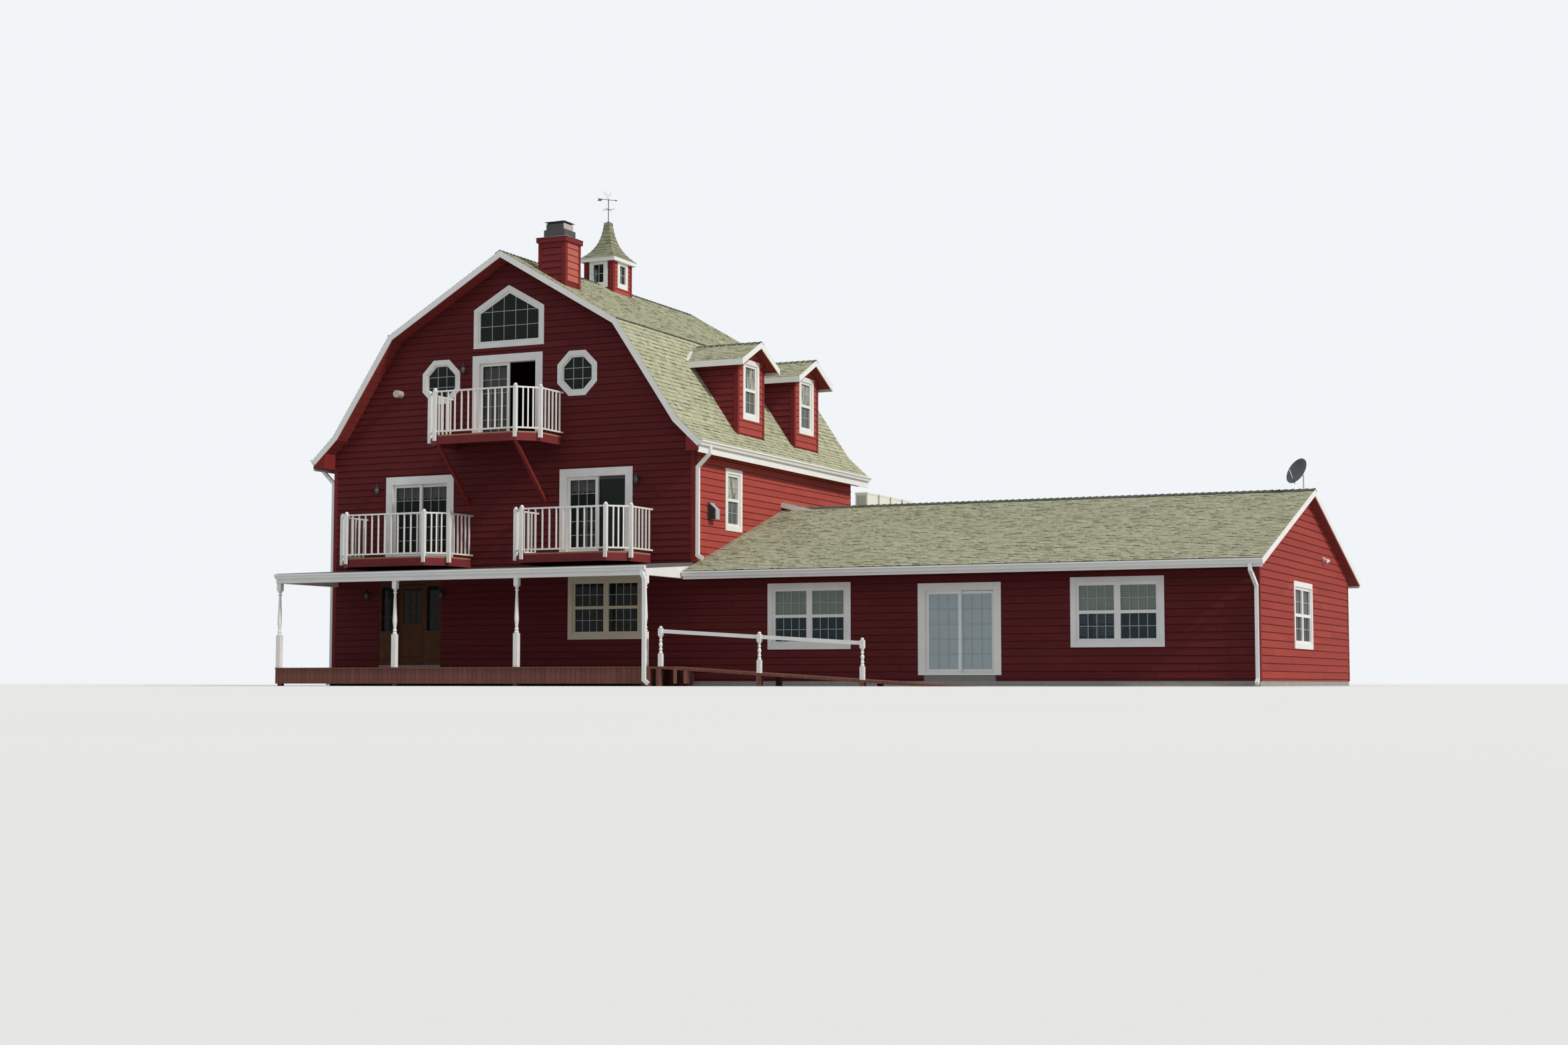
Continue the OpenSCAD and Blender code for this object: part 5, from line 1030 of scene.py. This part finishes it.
def grid_bars(x0, z0, x1, z1, columns, levels, out=BAR_OUT, width=BAR_W):
    """Bars that divide a rectangle into columns and levels, as faces in (along, up, out). Level
    bars are 1 mm thinner on both faces than upright ones."""
    h = width / 2
    xs = np.linspace(x0, x1, columns + 1)[1:-1]
    zs = np.linspace(z0, z1, levels + 1)[1:-1]
    return boxes(np.concatenate([rows(xs - h, z0, out[0]), rows(x0, zs - h, out[0] + 0.001)]),
                 np.concatenate([rows(xs + h, z1, out[1]), rows(x1, zs + h, out[1] - 0.001)]))


def grids_on(grids, origin=(0, FRONT_Y, 0), along=(1, 0, 0)):
    """Faces of several grids, each the arguments of grid_bars, on a wall."""
    return on_plane(np.concatenate([grid_bars(*g) for g in grids]), origin, along)


def window_grids(middle, sill, width):
    """Grids of a double-hung window, four panes wide in a pair and two in a single one."""
    inner = width - 2 * CASING
    units, columns = (2, 4) if width == PAIR_W else (1, 2)
    unit, left, foot = inner / units, middle - inner / 2, sill + CASING + SASH
    return [(left + i * unit + SASH, foot + j * (PANE_H + SASH),
             left + (i + 1) * unit - SASH, foot + j * (PANE_H + SASH) + PANE_H, columns, 2)
            for i in range(units) for j in range(2)]


WALLS_WITH_WINDOWS = [
    ((0, FRONT_Y, 0), (1, 0, 0), FRONT_WINDOWS + WING_FRONT_WINDOWS),
    ((HALF_W, 0, 0), SUNNY, SUNNY_WINDOWS),
    ((-HALF_W, 0, 0), (0, -1, 0), SIDE_WINDOWS),
    ((0, BACK_Y, 0), (-1, 0, 0), BACK_WINDOWS),
    ((0, WING_BACK, 0), (-1, 0, 0), WING_BACK_WINDOWS),
    ((WING_X, 0, 0), SUNNY, WING_END_WINDOWS),
    *[((side * DORMER_X, y, 0), (0, side, 0), DORMER_WINDOWS) for side, y in DORMERS],
]
bars = [grids_on([g for w in windows for g in window_grids(*w)], origin, along)
        for origin, along, windows in WALLS_WITH_WINDOWS]
print("windows with bars:", sum(len(windows) for _, _, windows in WALLS_WITH_WINDOWS))

# %% Bars of the octagons, the gable window and the cupola
OCTAGON_REACH = 0.415
for x in OCTAGON_XS:
    bars.append(grids_on([(x - OCTAGON_REACH, OCTAGON_Z - OCTAGON_REACH, x + OCTAGON_REACH,
                           OCTAGON_Z + OCTAGON_REACH, 3, 3)]))
gable_x, gable_foot, gable_shoulder, gable_peak = 0.89, 9.02, 9.765, 10.264
gable_fall = (gable_peak - gable_shoulder) / gable_x
xs, zs, h = gable_x * np.array([-0.6, -0.2, 0.2, 0.6]), np.array([9.41, 9.80]), BAR_W / 2
level_x = np.minimum(gable_x, gable_x * (gable_peak - zs) / (gable_peak - gable_shoulder) - 0.02)
low = [rows(xs - h, gable_foot, BAR_OUT[0]), rows(-level_x, zs - h, BAR_OUT[0] + 0.001)]
high = [rows(xs + h, gable_peak - gable_fall * (np.abs(xs) + h), BAR_OUT[1]),
        rows(level_x, zs + h, BAR_OUT[1] - 0.001)]
bars.append(on_plane(boxes(np.concatenate(low), np.concatenate(high))))
cupola_grid = [(-0.16, 11.335, 0.16, 11.845, 2, 2, (-0.0215, -0.006))]
for turn in (1, -1):
    bars.append(grids_on(cupola_grid, (0, CUPOLA_Y - turn * half_y, 0), (turn, 0, 0)))
    bars.append(grids_on(cupola_grid, (turn * half_x, CUPOLA_Y, 0), (0, turn, 0)))

# %% Bars of the sliding doors and the sidelites
PANE_Z, FIXED_PANE, SLIDING_PANE = (0.14, 1.91), (0.14, 0.875, 0.0455), (0.955, 1.69, 0.0955)


def leaf_grid(x, z, pane):
    """Grid of a door's pane (left, right, depth behind the wall's face), counted from its edge."""
    edge, (left, right, depth) = x - DOOR_W / 2, pane
    return edge + left, z + PANE_Z[0], edge + right, z + PANE_Z[1], 3, 5, (-depth, 0.012 - depth)


BODIES = frame["record"]["behaviour"]["bodies"]
ENTRY_BODY = next(name for name, held in BODIES.items() if "entry_door" in held)
PATIO_BODY = next(name for name, held in BODIES.items() if "patio_door" in held)
SIDELITES = [(-3.90, 1.45, -3.5175, 2.62), (-2.4625, 1.45, -2.08, 2.62)]
door_grids = [leaf_grid(x, z, FIXED_PANE) for x, z in DOORS.values()]
bars.append(grids_on([*door_grids, leaf_grid(*DOORS["left"], SLIDING_PANE)]))
piece("window_bars", np.concatenate(bars), BAR_PAINT)
piece("patio_leaf_bars", grids_on([leaf_grid(*DOORS["patio"], SLIDING_PANE)]), BAR_PAINT,
      body=PATIO_BODY)
piece("sidelite_bars", grids_on([(*r, 1, 3, (-0.079, -0.066), 0.022) for r in SIDELITES]),
      BROWN_WOOD)

# %% [markdown]
# ## The entry door
#
# The varnished door has nine small panes over two raised panels, and the frame has a panel under
# each sidelite. A raised panel is a low frustum: a rectangle that steps in as it rises, so its
# edges catch the light. Bars and panels swing with the leaf.


# %% Raised panels and the bars of the entry
ENTRY_Z, LEAF_FACE, LEAF_HALF, STILE = FLOORS["ground"], -0.115, 0.4575, 0.13


def raised_panel(x0, z0, x1, z1, out, rise=0.010, bevel=0.035):
    """Faces of a frustum from the outer rectangle at out to an inner one, bevel inside, rise higher."""
    outer = np.array([(x0, z0, out), (x1, z0, out), (x1, z1, out), (x0, z1, out)])
    inner = outer + [(x * bevel, z * bevel, rise) for x, z in ((1, 1), (-1, 1), (-1, -1), (1, -1))]
    sides = np.stack([outer, np.roll(outer, -1, 0), np.roll(inner, -1, 0), inner], 1)
    return np.concatenate([sides, inner[None], outer[None, ::-1]])


leaf_x0, leaf_x1 = ENTRY_X - LEAF_HALF + STILE, ENTRY_X + LEAF_HALF - STILE
door_faces = [grid_bars(-3.2775, 1.63, -2.7025, 2.57, 3, 3, (-0.133, -0.117), 0.022)]
door_faces += [raised_panel(a, ENTRY_Z + 0.20, b, ENTRY_Z + 0.93, LEAF_FACE)
               for a, b in ((leaf_x0, ENTRY_X - 0.04), (ENTRY_X + 0.04, leaf_x1))]
piece("entry_door_panels", on_plane(np.concatenate(door_faces)), BROWN_WOOD,
      body=ENTRY_BODY)
frame_panels = [raised_panel(x0 + 0.01, ENTRY_Z + 0.12, x1 - 0.01, ENTRY_Z + 0.80, 0.0)
                for x0, _, x1, _ in SIDELITES]
piece("entry_frame_panels", on_plane(np.concatenate(frame_panels)), BROWN_WOOD)

# %% [markdown]
# ## Caps of turned wood, end plates and lamps
#
# Small round pieces are all made by one function: a profile of radius and height is turned round
# an upright axis. The balcony posts carry rounded caps, the lanterns have a ring of frosted
# panes, and the gutters are closed with plates in the shape of their section.


# %% Turned pieces
def turned(profile, centres, sides=16):
    """Faces of a profile (radius, height) turned round an upright axis at each centre:
    x = radius * cos(angle), y = radius * sin(angle)."""
    radius, height = np.asarray(profile, float).T[..., None]
    angle = 2 * np.pi * np.arange(sides) / sides
    rings = np.stack(np.broadcast_arrays(radius * np.cos(angle), radius * np.sin(angle), height), -1)
    return (np.asarray(centres, float)[:, None, None] + rings_joined(rings)).reshape(-1, 4, 3)


POST_TOP, TIP_R = 1.15, 0.0001
cap_centres = [(x + dx, FRONT_Y + dy, z + POST_TOP) for x, z in BALCONIES
               for dx, dy in ((-1.2, -1.58), (1.2, -1.58), (-1.66, -1.12), (1.66, -1.12))]
cap_profile = [(TIP_R, -0.002), (0.052, -0.002), (0.052, 0.010), (0.040, 0.016), (0.044, 0.034),
               (0.030, 0.050), (TIP_R, 0.056)]
piece("balcony_post_caps", turned(cap_profile, cap_centres), WHITE_PAINT, merge=True)

# %% Panes, ribs and finials of the lanterns
LANTERNS = [(-4.30, ENTRY_Z), (-1.95, ENTRY_Z), (-4.03, FLOORS["second"]), (3.85, FLOORS["second"]),
            (-1.34, FLOORS["attic"])]
LANTERN_FOOT, RIB_HALF = 1.88 - 0.12, 0.004
lantern_centres = np.array([(x, FRONT_Y - 0.10, z + LANTERN_FOOT) for x, z in LANTERNS])
FROSTED = plain_finish("lantern_glass", (0.13, 0.14, 0.14), (0.05, 0.055, 0.055), 40, 0.2)
pane_profile = [(0.0305, 0.002), (0.0445, 0.022), (0.0545, 0.146), (0.0505, 0.149), (0.030, 0.006),
                (0.0305, 0.002)]
piece("lantern_panes", turned(pane_profile, lantern_centres), FROSTED, merge=True)


def rib_end(radius, height):
    """Small squares round each lantern, one for each of its six ribs."""
    angle = np.radians(30 + 60 * np.arange(6))
    spots = lantern_centres[:, None] + rows(radius * np.cos(angle), radius * np.sin(angle), height)
    square = RIB_HALF * np.array([(-1, -1, 0), (1, -1, 0), (1, 1, 0), (-1, 1, 0)])
    return spots.reshape(-1, 1, 3) + square


low, high = rib_end(0.046, 0.022), rib_end(0.056, 0.150)
rib_sides = np.stack([low, np.roll(low, -1, 1), np.roll(high, -1, 1), high], 2).reshape(-1, 4, 3)
piece("lantern_ribs", np.concatenate([rib_sides, low[:, ::-1], high]), DARK_METAL, merge=True)
crown = [(TIP_R, 0.214), (0.022, 0.214), (0.026, 0.228), (0.010, 0.240), (0.017, 0.258), (0.006, 0.276),
         (TIP_R, 0.292)]
drop = [(TIP_R, -0.052), (0.010, -0.044), (0.007, -0.030), (0.020, -0.014), (0.030, 0.002), (TIP_R, 0.003)]
piece("lantern_finials", np.concatenate([turned(profile, lantern_centres) for profile in (crown, drop)]),
      DARK_METAL, merge=True)


# %% End plates of the gutters
PLATE_T, PLATE_GAP, GUTTER_DROP = 0.003, 0.0035, 0.02
GUTTER = np.array([(0, 0), (0, -0.12), (0.0605, -0.12), (0.077, -0.066), (0.11, -0.036), (0.11, 0)])


def end_plate(corner, out, along):
    """A plate in the shape of a gutter's section, whose points are (out of the wall, up)."""
    out, thick = np.asarray(out, float), PLATE_T * np.asarray(along, float)
    ring = np.asarray(corner, float) + GUTTER[:, :1] * out + GUTTER[:, 1:] * (0, 0, 1.0)
    after = np.roll(ring, -1, axis=0)
    sides = np.stack([after, ring, ring + thick, after + thick], 1)
    flat = ring[[[0, 1, 2, 3], [0, 3, 4, 5]]]
    return np.concatenate([flat, flat[:, ::-1] + thick, sides])


gutter_ends = [((side * EAVE[0], end * (RAKE_Y - PLATE_GAP), EAVE[1] - GUTTER_DROP),
                (side, 0, 0), (0, end, 0)) for side in (1, -1) for end in (1, -1)]
gutter_ends += [((x, y, WING_EAVE - GUTTER_DROP), (0, reach, 0), (end, 0, 0))
                for y, reach in ((FRONT_Y - WING_OVER, -1), (WING_BACK + WING_OVER, 1))
                for x, end in ((HALF_W + 0.006, -1), (WING_X + WING_RAKE - PLATE_GAP, 1))]
gutter_ends += [((side * (HALF_W - 0.0235), -7.49, 2.88), (0, -1, 0), (side, 0, 0)) for side in (-1, 1)]
piece("gutter_ends", [end_plate(*e) for e in gutter_ends], WHITE_METAL)

# %% Plate on the chimney
PLATE_EDGE, PLATE_Z = 0.072, (11.641, 11.652)
piece("chimney_plate", boxes((CHIMNEY_X[0] - PLATE_EDGE, CHIMNEY_Y[0] - PLATE_EDGE, PLATE_Z[0]),
                             (CHIMNEY_X[1] + PLATE_EDGE, CHIMNEY_Y[1] + PLATE_EDGE, PLATE_Z[1])),
      GREY_METAL, merge=True)

# %% Fins and grilles of the condensers
UNIT_X, UNIT_YS, UNIT_DEPTH, UNIT_Z = (6.84, 7.20), 2.07 + 0.88 * np.arange(4), 0.76, (4.6425, 5.3225)
FIN, FIN_OUT, FIN_STEP, LID_OUT = 0.008, 0.010, 0.024, 0.008
foot, head = UNIT_Z[0] + 0.06, UNIT_Z[1] - 0.08
low, high, grille_low, grille_high = [], [], [], []
for y in UNIT_YS:
    across = np.arange(UNIT_X[0] + 0.035, UNIT_X[1] - 0.035, FIN_STEP)
    deep = np.arange(y + 0.04, y + UNIT_DEPTH - 0.04, FIN_STEP)
    low += [rows(across, y - FIN_OUT, foot), rows(UNIT_X[0] - FIN_OUT, deep, foot),
            [(UNIT_X[0] - LID_OUT, y - LID_OUT, UNIT_Z[1] - 0.045)]]
    high += [rows(across + FIN, y - 0.001, head), rows(UNIT_X[0] - 0.001, deep + FIN, head),
             [(UNIT_X[1] + LID_OUT, y + UNIT_DEPTH + LID_OUT, UNIT_Z[1] + 0.004)]]
    grille_low += [(UNIT_X[0] + 0.03, y - 0.003, foot), (UNIT_X[0] - 0.003, y + 0.03, foot)]
    grille_high += [(UNIT_X[1] - 0.03, y + 0.002, head), (UNIT_X[0] + 0.002, y + UNIT_DEPTH - 0.03, head)]
piece("condenser_fins", boxes(np.concatenate(low), np.concatenate(high)), CREAM_METAL)
piece("condenser_grilles", boxes(grille_low, grille_high), GREY_METAL)

# %% [markdown]
# ## Blinds and valances behind the glass
#
# The upstairs glass has pale lace valances, and the attic door, the patio door and some sashes
# have blinds. A blind is a ladder of thin slats with a narrow gap under each. A valance is a
# sheet cut wider than its rod and pushed into pleats, so its surface is a sine wave whose arc is
# the width that it was cut to, with a scalloped lower edge.


# %% Blinds
SLAT_PITCH, SLAT_T, BLIND_DEPTH = 0.048, 0.003, 0.075
DOOR_BLIND_DEPTH, DOOR_BLIND_Z = 0.150, (0.12, 1.93)


def slats(x0, x1, z0, z1, depth):
    """Slats from x0 to x1 between two heights, as faces in (along, up, out)."""
    z = np.arange(z0, z1 - SLAT_PITCH, SLAT_PITCH)
    return boxes(rows(x0, z + SLAT_T, -depth), rows(x1, z + SLAT_PITCH - SLAT_T, -depth + SLAT_T))


def door_slats(door, left, right):
    """The blind of a sliding door, between two distances from its middle."""
    x, z = DOORS[door]
    return on_plane(slats(x + left, x + right, z + DOOR_BLIND_Z[0], z + DOOR_BLIND_Z[1], DOOR_BLIND_DEPTH))


blind_sets = [door_slats("attic", -0.80, -0.03), door_slats("patio", -0.83, 0.83)]
for origin, along, windows in WALLS_WITH_WINDOWS:
    closed = origin[1] >= BACK_Y or origin[0] == -HALF_W
    for middle, sill, width in windows:
        if (middle, sill, width) in FRONT_WINDOWS:
            continue
        reach, top = width / 2 - CASING - SASH / 2, sill + WIN_H - CASING - 0.03
        share = 0.82 if closed else 0.42 if width == PAIR_W else 0.78
        made = slats(middle - reach, middle + reach, top - share * WIN_H, top, BLIND_DEPTH)
        blind_sets.append(on_plane(made, origin, along))
piece("window_blinds", np.concatenate(blind_sets), CLOTH)


# %% Valances, as pleated sheets
def valance(name, middle, floor, width=0.80, drop=0.36, pleats=11, depth=0.145):
    """A pleated sheet: out = -depth + 0.011 * sin(2 pi pleats u), with its lower edge raised by
    0.05 * |sin(5 pi u)|, u from 0 to 1 across it and v from 0 to 1 down it."""
    u, v = np.meshgrid(np.linspace(0, 1, 12 * pleats + 1), np.linspace(0, 1, 9), indexing="ij")
    x = middle + width * (u - 0.5)
    out = -depth + 0.011 * np.sin(2 * np.pi * pleats * u)
    z = floor + DOOR_BLIND_Z[1] - v * (drop - 0.05 * np.abs(np.sin(5 * np.pi * u)))
    grid = np.stack([x, FRONT_Y - out, z], -1)
    faces = np.stack([grid[:-1, :-1], grid[:-1, 1:], grid[1:, 1:], grid[1:, :-1]], 2).reshape(-1, 4, 3)
    made = piece(name, faces, CLOTH, merge=True)


for door, part, shift in (("left", "a", -0.41), ("left", "b", 0.41), ("right", "a", -0.41)):
    valance(f"valance_{door}_{part}", DOORS[door][0] + shift, DOORS[door][1])

# %% [markdown]
# ## Materials for the solids that stay
#
# Most CAD solids keep their shape and only get a finish. The underside of a roof is boarded and
# painted red on this house, while its top is felt under the shingles, so the roof's finish looks
# at which way a face points. A solid with two paints tells them apart by where a point lies.


# %% Roof solids
def roof_solid(name, top):
    """A dark top on faces that point up or out, red boards on faces that point down. The boards' reds are
    paler than the walls': painted sunlight.
    """
    f = Finish(name, Specular_IOR_Level=DULL)
    _, _, up = f.split(f.node("ShaderNodeNewGeometry", output="True Normal"))
    x, y, z = f.split(f.place())
    joint = ((x % 0.14) / 0.14 < 0.05) * 0.8
    grain = f.noise(f.join(x * 4.0, y * 30.0, z * 4.0), 1.0, 4.0)
    # Paler reds on the boards under the roofs: painted sunlight.
    soffit = f.mix(joint, f.mix(grain, (0.176, 0.023, 0.023), (0.305, 0.053, 0.044)), (0.02, 0.006, 0.006))
    f.bump(grain, 0.2, 0.003)
    return f.set(Base_Color=f.mix(up > -0.45, soffit, top), Roughness=0.7 + grain * 0.2)


ROOF_SOLID = roof_solid("roof_felt_and_soffit", (0.09, 0.095, 0.08))
PORCH_SOLID = roof_solid("porch_felt_and_ceiling", (0.13, 0.13, 0.125))
print("roof solids:", ROOF_SOLID.name, PORCH_SOLID.name)


# %% Solids with two paints
def split_finish(name, inside, base, other, scale, roughness, **constants):
    """Paint with one colour, and another where inside(x, y, z) is 1, both in soft patches."""
    f = Finish(name, **constants)
    spot = f.place()
    mask = inside(*f.split(spot))
    patches = (f.noise(spot, scale * 0.15, 4.0) * 1.6 - 0.3).clamp()
    fine = f.noise(spot, scale, 4.0)
    first, second = (f.mix(patches, c, tint(c, 0.88)) for c in (base, other))
    f.bump(fine, 0.3, 0.0015)
    return f.set(Base_Color=f.mix(mask, first, second), Roughness=roughness + fine * 0.12)


DISH_AXIS, DISH_FOOT, DISH_NEAR, DISH_FAR = (-0.583, -0.694, 0.423), -9.434, 0.09, 0.252


def off_dish(x, y, z):
    """1 on the mast behind the dish and on the arm ahead of it, by the distance along its axis:
    x * axis x + y * axis y + z * axis z - foot."""
    ahead = x * DISH_AXIS[0] + y * DISH_AXIS[1] + z * DISH_AXIS[2] - DISH_FOOT
    return (ahead > DISH_FAR) + (ahead < DISH_NEAR)


WHITE, CREAM, BLACK = (0.84, 0.84, 0.82), (0.64, 0.59, 0.45), (0.028, 0.028, 0.030)
# The window under the porch is cream, all others are white.
WINDOW_PAINT = split_finish(
    "window_paint", lambda x, y, z: x.within(1.8, 4.1) * (z < 2.85) * (y < -4.9), WHITE, CREAM, 18, 0.42)
# The deck of a balcony is bare wood over red rim boards.
DECK_EDGE = split_finish(
    "balcony_wood", lambda x, y, z: z.within(3.281, 3.4) + (z > 6.381), WORN[2], (0.42, 0.22, 0.12),
    18, 0.6, Specular_IOR_Level=DULL)
# In the half of the right door that stands open, the inner frame is painted dark: painted shade of the open
# doorway.
DOOR_PAINT = split_finish(
    "door_paint", lambda x, y, z: x.within(2.69, 3.49) * z.within(3.41, 5.34) * (y > -4.965), WHITE,
    (0.045, 0.046, 0.048), 18, 0.42)
# On the side of its upper tier that faces the key light, the chimney's cap is painted pale: painted
# sunlight.
CAP_METAL = split_finish(
    "cap_painted_sunlight", lambda x, y, z: (x > 1.49) * z.within(11.88, 12.04), (0.060, 0.057, 0.055),
    (0.50, 0.45, 0.40), 12, 0.5)
# The vane has a white rooster over a dark arrow, and the lamp on the wing's end is white.
VANE_PAINT = split_finish("vane_paint", lambda x, y, z: z > 13.82, (0.05, 0.05, 0.055), WHITE, 18, 0.4)
LAMP_PAINT = split_finish("lamp_enamel", lambda x, y, z: x > 19.0, BLACK, WHITE, 25, 0.4)
DISH_PAINT = split_finish("dish_enamel", off_dish, (0.105, 0.120, 0.140), WHITE, 20, 0.4)
print("two paints:", WINDOW_PAINT.name, DOOR_PAINT.name, DISH_PAINT.name)


# %% The vents, then a finish for every solid
def vent_finish():
    """Beige for the round vent on the gable; on the side, a black plate with a grey hood."""
    f = Finish("vent_enamel")
    spot = f.place()
    x, y, _ = f.split(spot)
    fine = f.noise(spot, 20.0, 4.0)
    hood = f.mix((x > 5.47) * (y > -4.20), BLACK, (0.40, 0.41, 0.43))
    f.bump(fine, 0.3, 0.0015)
    return f.set(Base_Color=f.mix(x < 0.0, hood, f.mix(fine, (0.52, 0.47, 0.38), (0.44, 0.40, 0.32))),
                 Roughness=0.4 + fine * 0.15)


BY_SLOT = {
    "concrete": CONCRETE, "floor_wood": FLOOR_BOARDS, "red_siding": RED_BOARDS, "shingles": ROOF_SOLID,
    "white_trim": WHITE_PAINT, "white_metal": WHITE_METAL, "dark_metal": DARK_METAL,
    "vane_metal": WHITE_METAL, "deck_wood": DECK_BOARDS, "porch_roofing": PORCH_ROOFING,
    "brown_wood": BROWN_WOOD, "glass": GLASS, "cream_metal": CREAM_METAL,
}
BY_NAME = {
    "satellite_dish": DISH_PAINT, "wall_vents": vent_finish(), "wall_lamps": LAMP_PAINT,
    "weathervane_arrow": VANE_PAINT, "balcony_decks": DECK_EDGE, "window_frames": WINDOW_PAINT,
    "porch_roof": PORCH_SOLID, "chimney_cap": CAP_METAL, "upper_doors": DOOR_PAINT,
}
slots = {part["node"]: part["material_slot"] for part in frame["record"]["subparts"]}
for name, solid in solids.items():
    solid.data.materials.clear()
    solid.data.materials.append(BY_NAME.get(name, BY_SLOT[slots[name]]))
print("solids with a finish:", len(solids))

# %% [markdown]
# ## Camera, floor and light
#
# The photograph was taken from low down, in front of the right-hand side. The camera below
# stands where that picture's lines say it stood. A key light on the long side and a weak fill
# from the front give plain studio light, so the front stays darker, as it is in the photograph.
# The floor and the surround are pale only for the camera and for gloss: their light on the house
# is kept low, so that the shaded walls are not washed out.

# %% Camera
PHOTO_W, FOCAL_PX, SENSOR_W = 2353, 3259.92, 36
camera = bpy.data.objects.new("camera", bpy.data.cameras.new("camera"))
camera.location = (30.0066, -53.16, 0.0685)
camera.rotation_euler = (math.pi / 2 + 0.073885, 0, 0.430174)
camera.data.sensor_width = SENSOR_W
camera.data.lens = FOCAL_PX * SENSOR_W / PHOTO_W
camera.data.clip_end = 400
bpy.context.scene.collection.objects.link(camera)
bpy.context.scene.camera = camera
print("focal length:", round(camera.data.lens, 1), "mm")


# %% Floor and surround
def seen_directly(nodes, *rays):
    """1 for the rays of the given kinds, and 0 for those that carry light on to other surfaces."""
    return sum(nodes.node("ShaderNodeLightPath", output=f"Is {ray} Ray") for ray in rays).clamp()


def floor_paper():
    """Pale paper for the camera, and a greyer one for the light that it throws back."""
    f = Finish("floor_paper")
    cloud = f.noise(f.place(), 0.3, 2.0)
    pale = f.mix(cloud, (0.86, 0.86, 0.85), (0.82, 0.82, 0.81))
    return f.set(Base_Color=f.mix(seen_directly(f, "Camera"), (0.50, 0.50, 0.49), pale),
                 Roughness=0.85 + cloud * 0.05)


FLOOR_HALF = 160.0
floor_mesh = bpy.data.meshes.new("studio_floor")
floor_mesh.from_pydata([(x, y, 0) for x, y in rect(-FLOOR_HALF, -FLOOR_HALF, FLOOR_HALF, FLOOR_HALF)], [],
                       [(0, 1, 2, 3)])
floor_mesh.materials.append(floor_paper())
floor = bpy.data.objects.new("studio_floor", floor_mesh)
bpy.context.scene.collection.objects.link(floor)

world = bpy.data.worlds.new("studio")
world.use_nodes = True
bpy.context.scene.world = world
studio = Nodes(world.node_tree)
light = studio.node("ShaderNodeBackground", inputs={"Color": (0.88, 0.93, 1.0), "Strength": 0.46})
paper = studio.node("ShaderNodeBackground", inputs={"Color": (0.88, 0.91, 0.94)})
shown = seen_directly(studio, "Camera", "Glossy", "Transmission")
surround = studio.node("ShaderNodeMixShader", inputs={0: shown, 1: light, 2: paper})
studio.feed(studio.tree.nodes["World Output"].inputs["Surface"], surround)
print("floor and surround ready")


# %% Lamps
def sun(name, strength, colour, spread, tilt, heading):
    """A broad lamp from far away: tilt from straight down, heading of where its light comes from."""
    lamp = bpy.data.lights.new(name, "SUN")
    lamp.energy, lamp.color, lamp.angle = strength, colour, math.radians(spread)
    made = bpy.data.objects.new(name, lamp)
    made.rotation_euler = (0, math.radians(tilt), math.radians(heading))
    bpy.context.scene.collection.objects.link(made)
    print(f"{name}: strength {strength}")


sun("key_light", 2.5, (1.0, 0.95, 0.87), 4, 52, -8)
sun("front_fill", 0.20, (0.95, 0.97, 1.0), 40, 60, -80)
bpy.context.scene.view_settings.view_transform = "Standard"
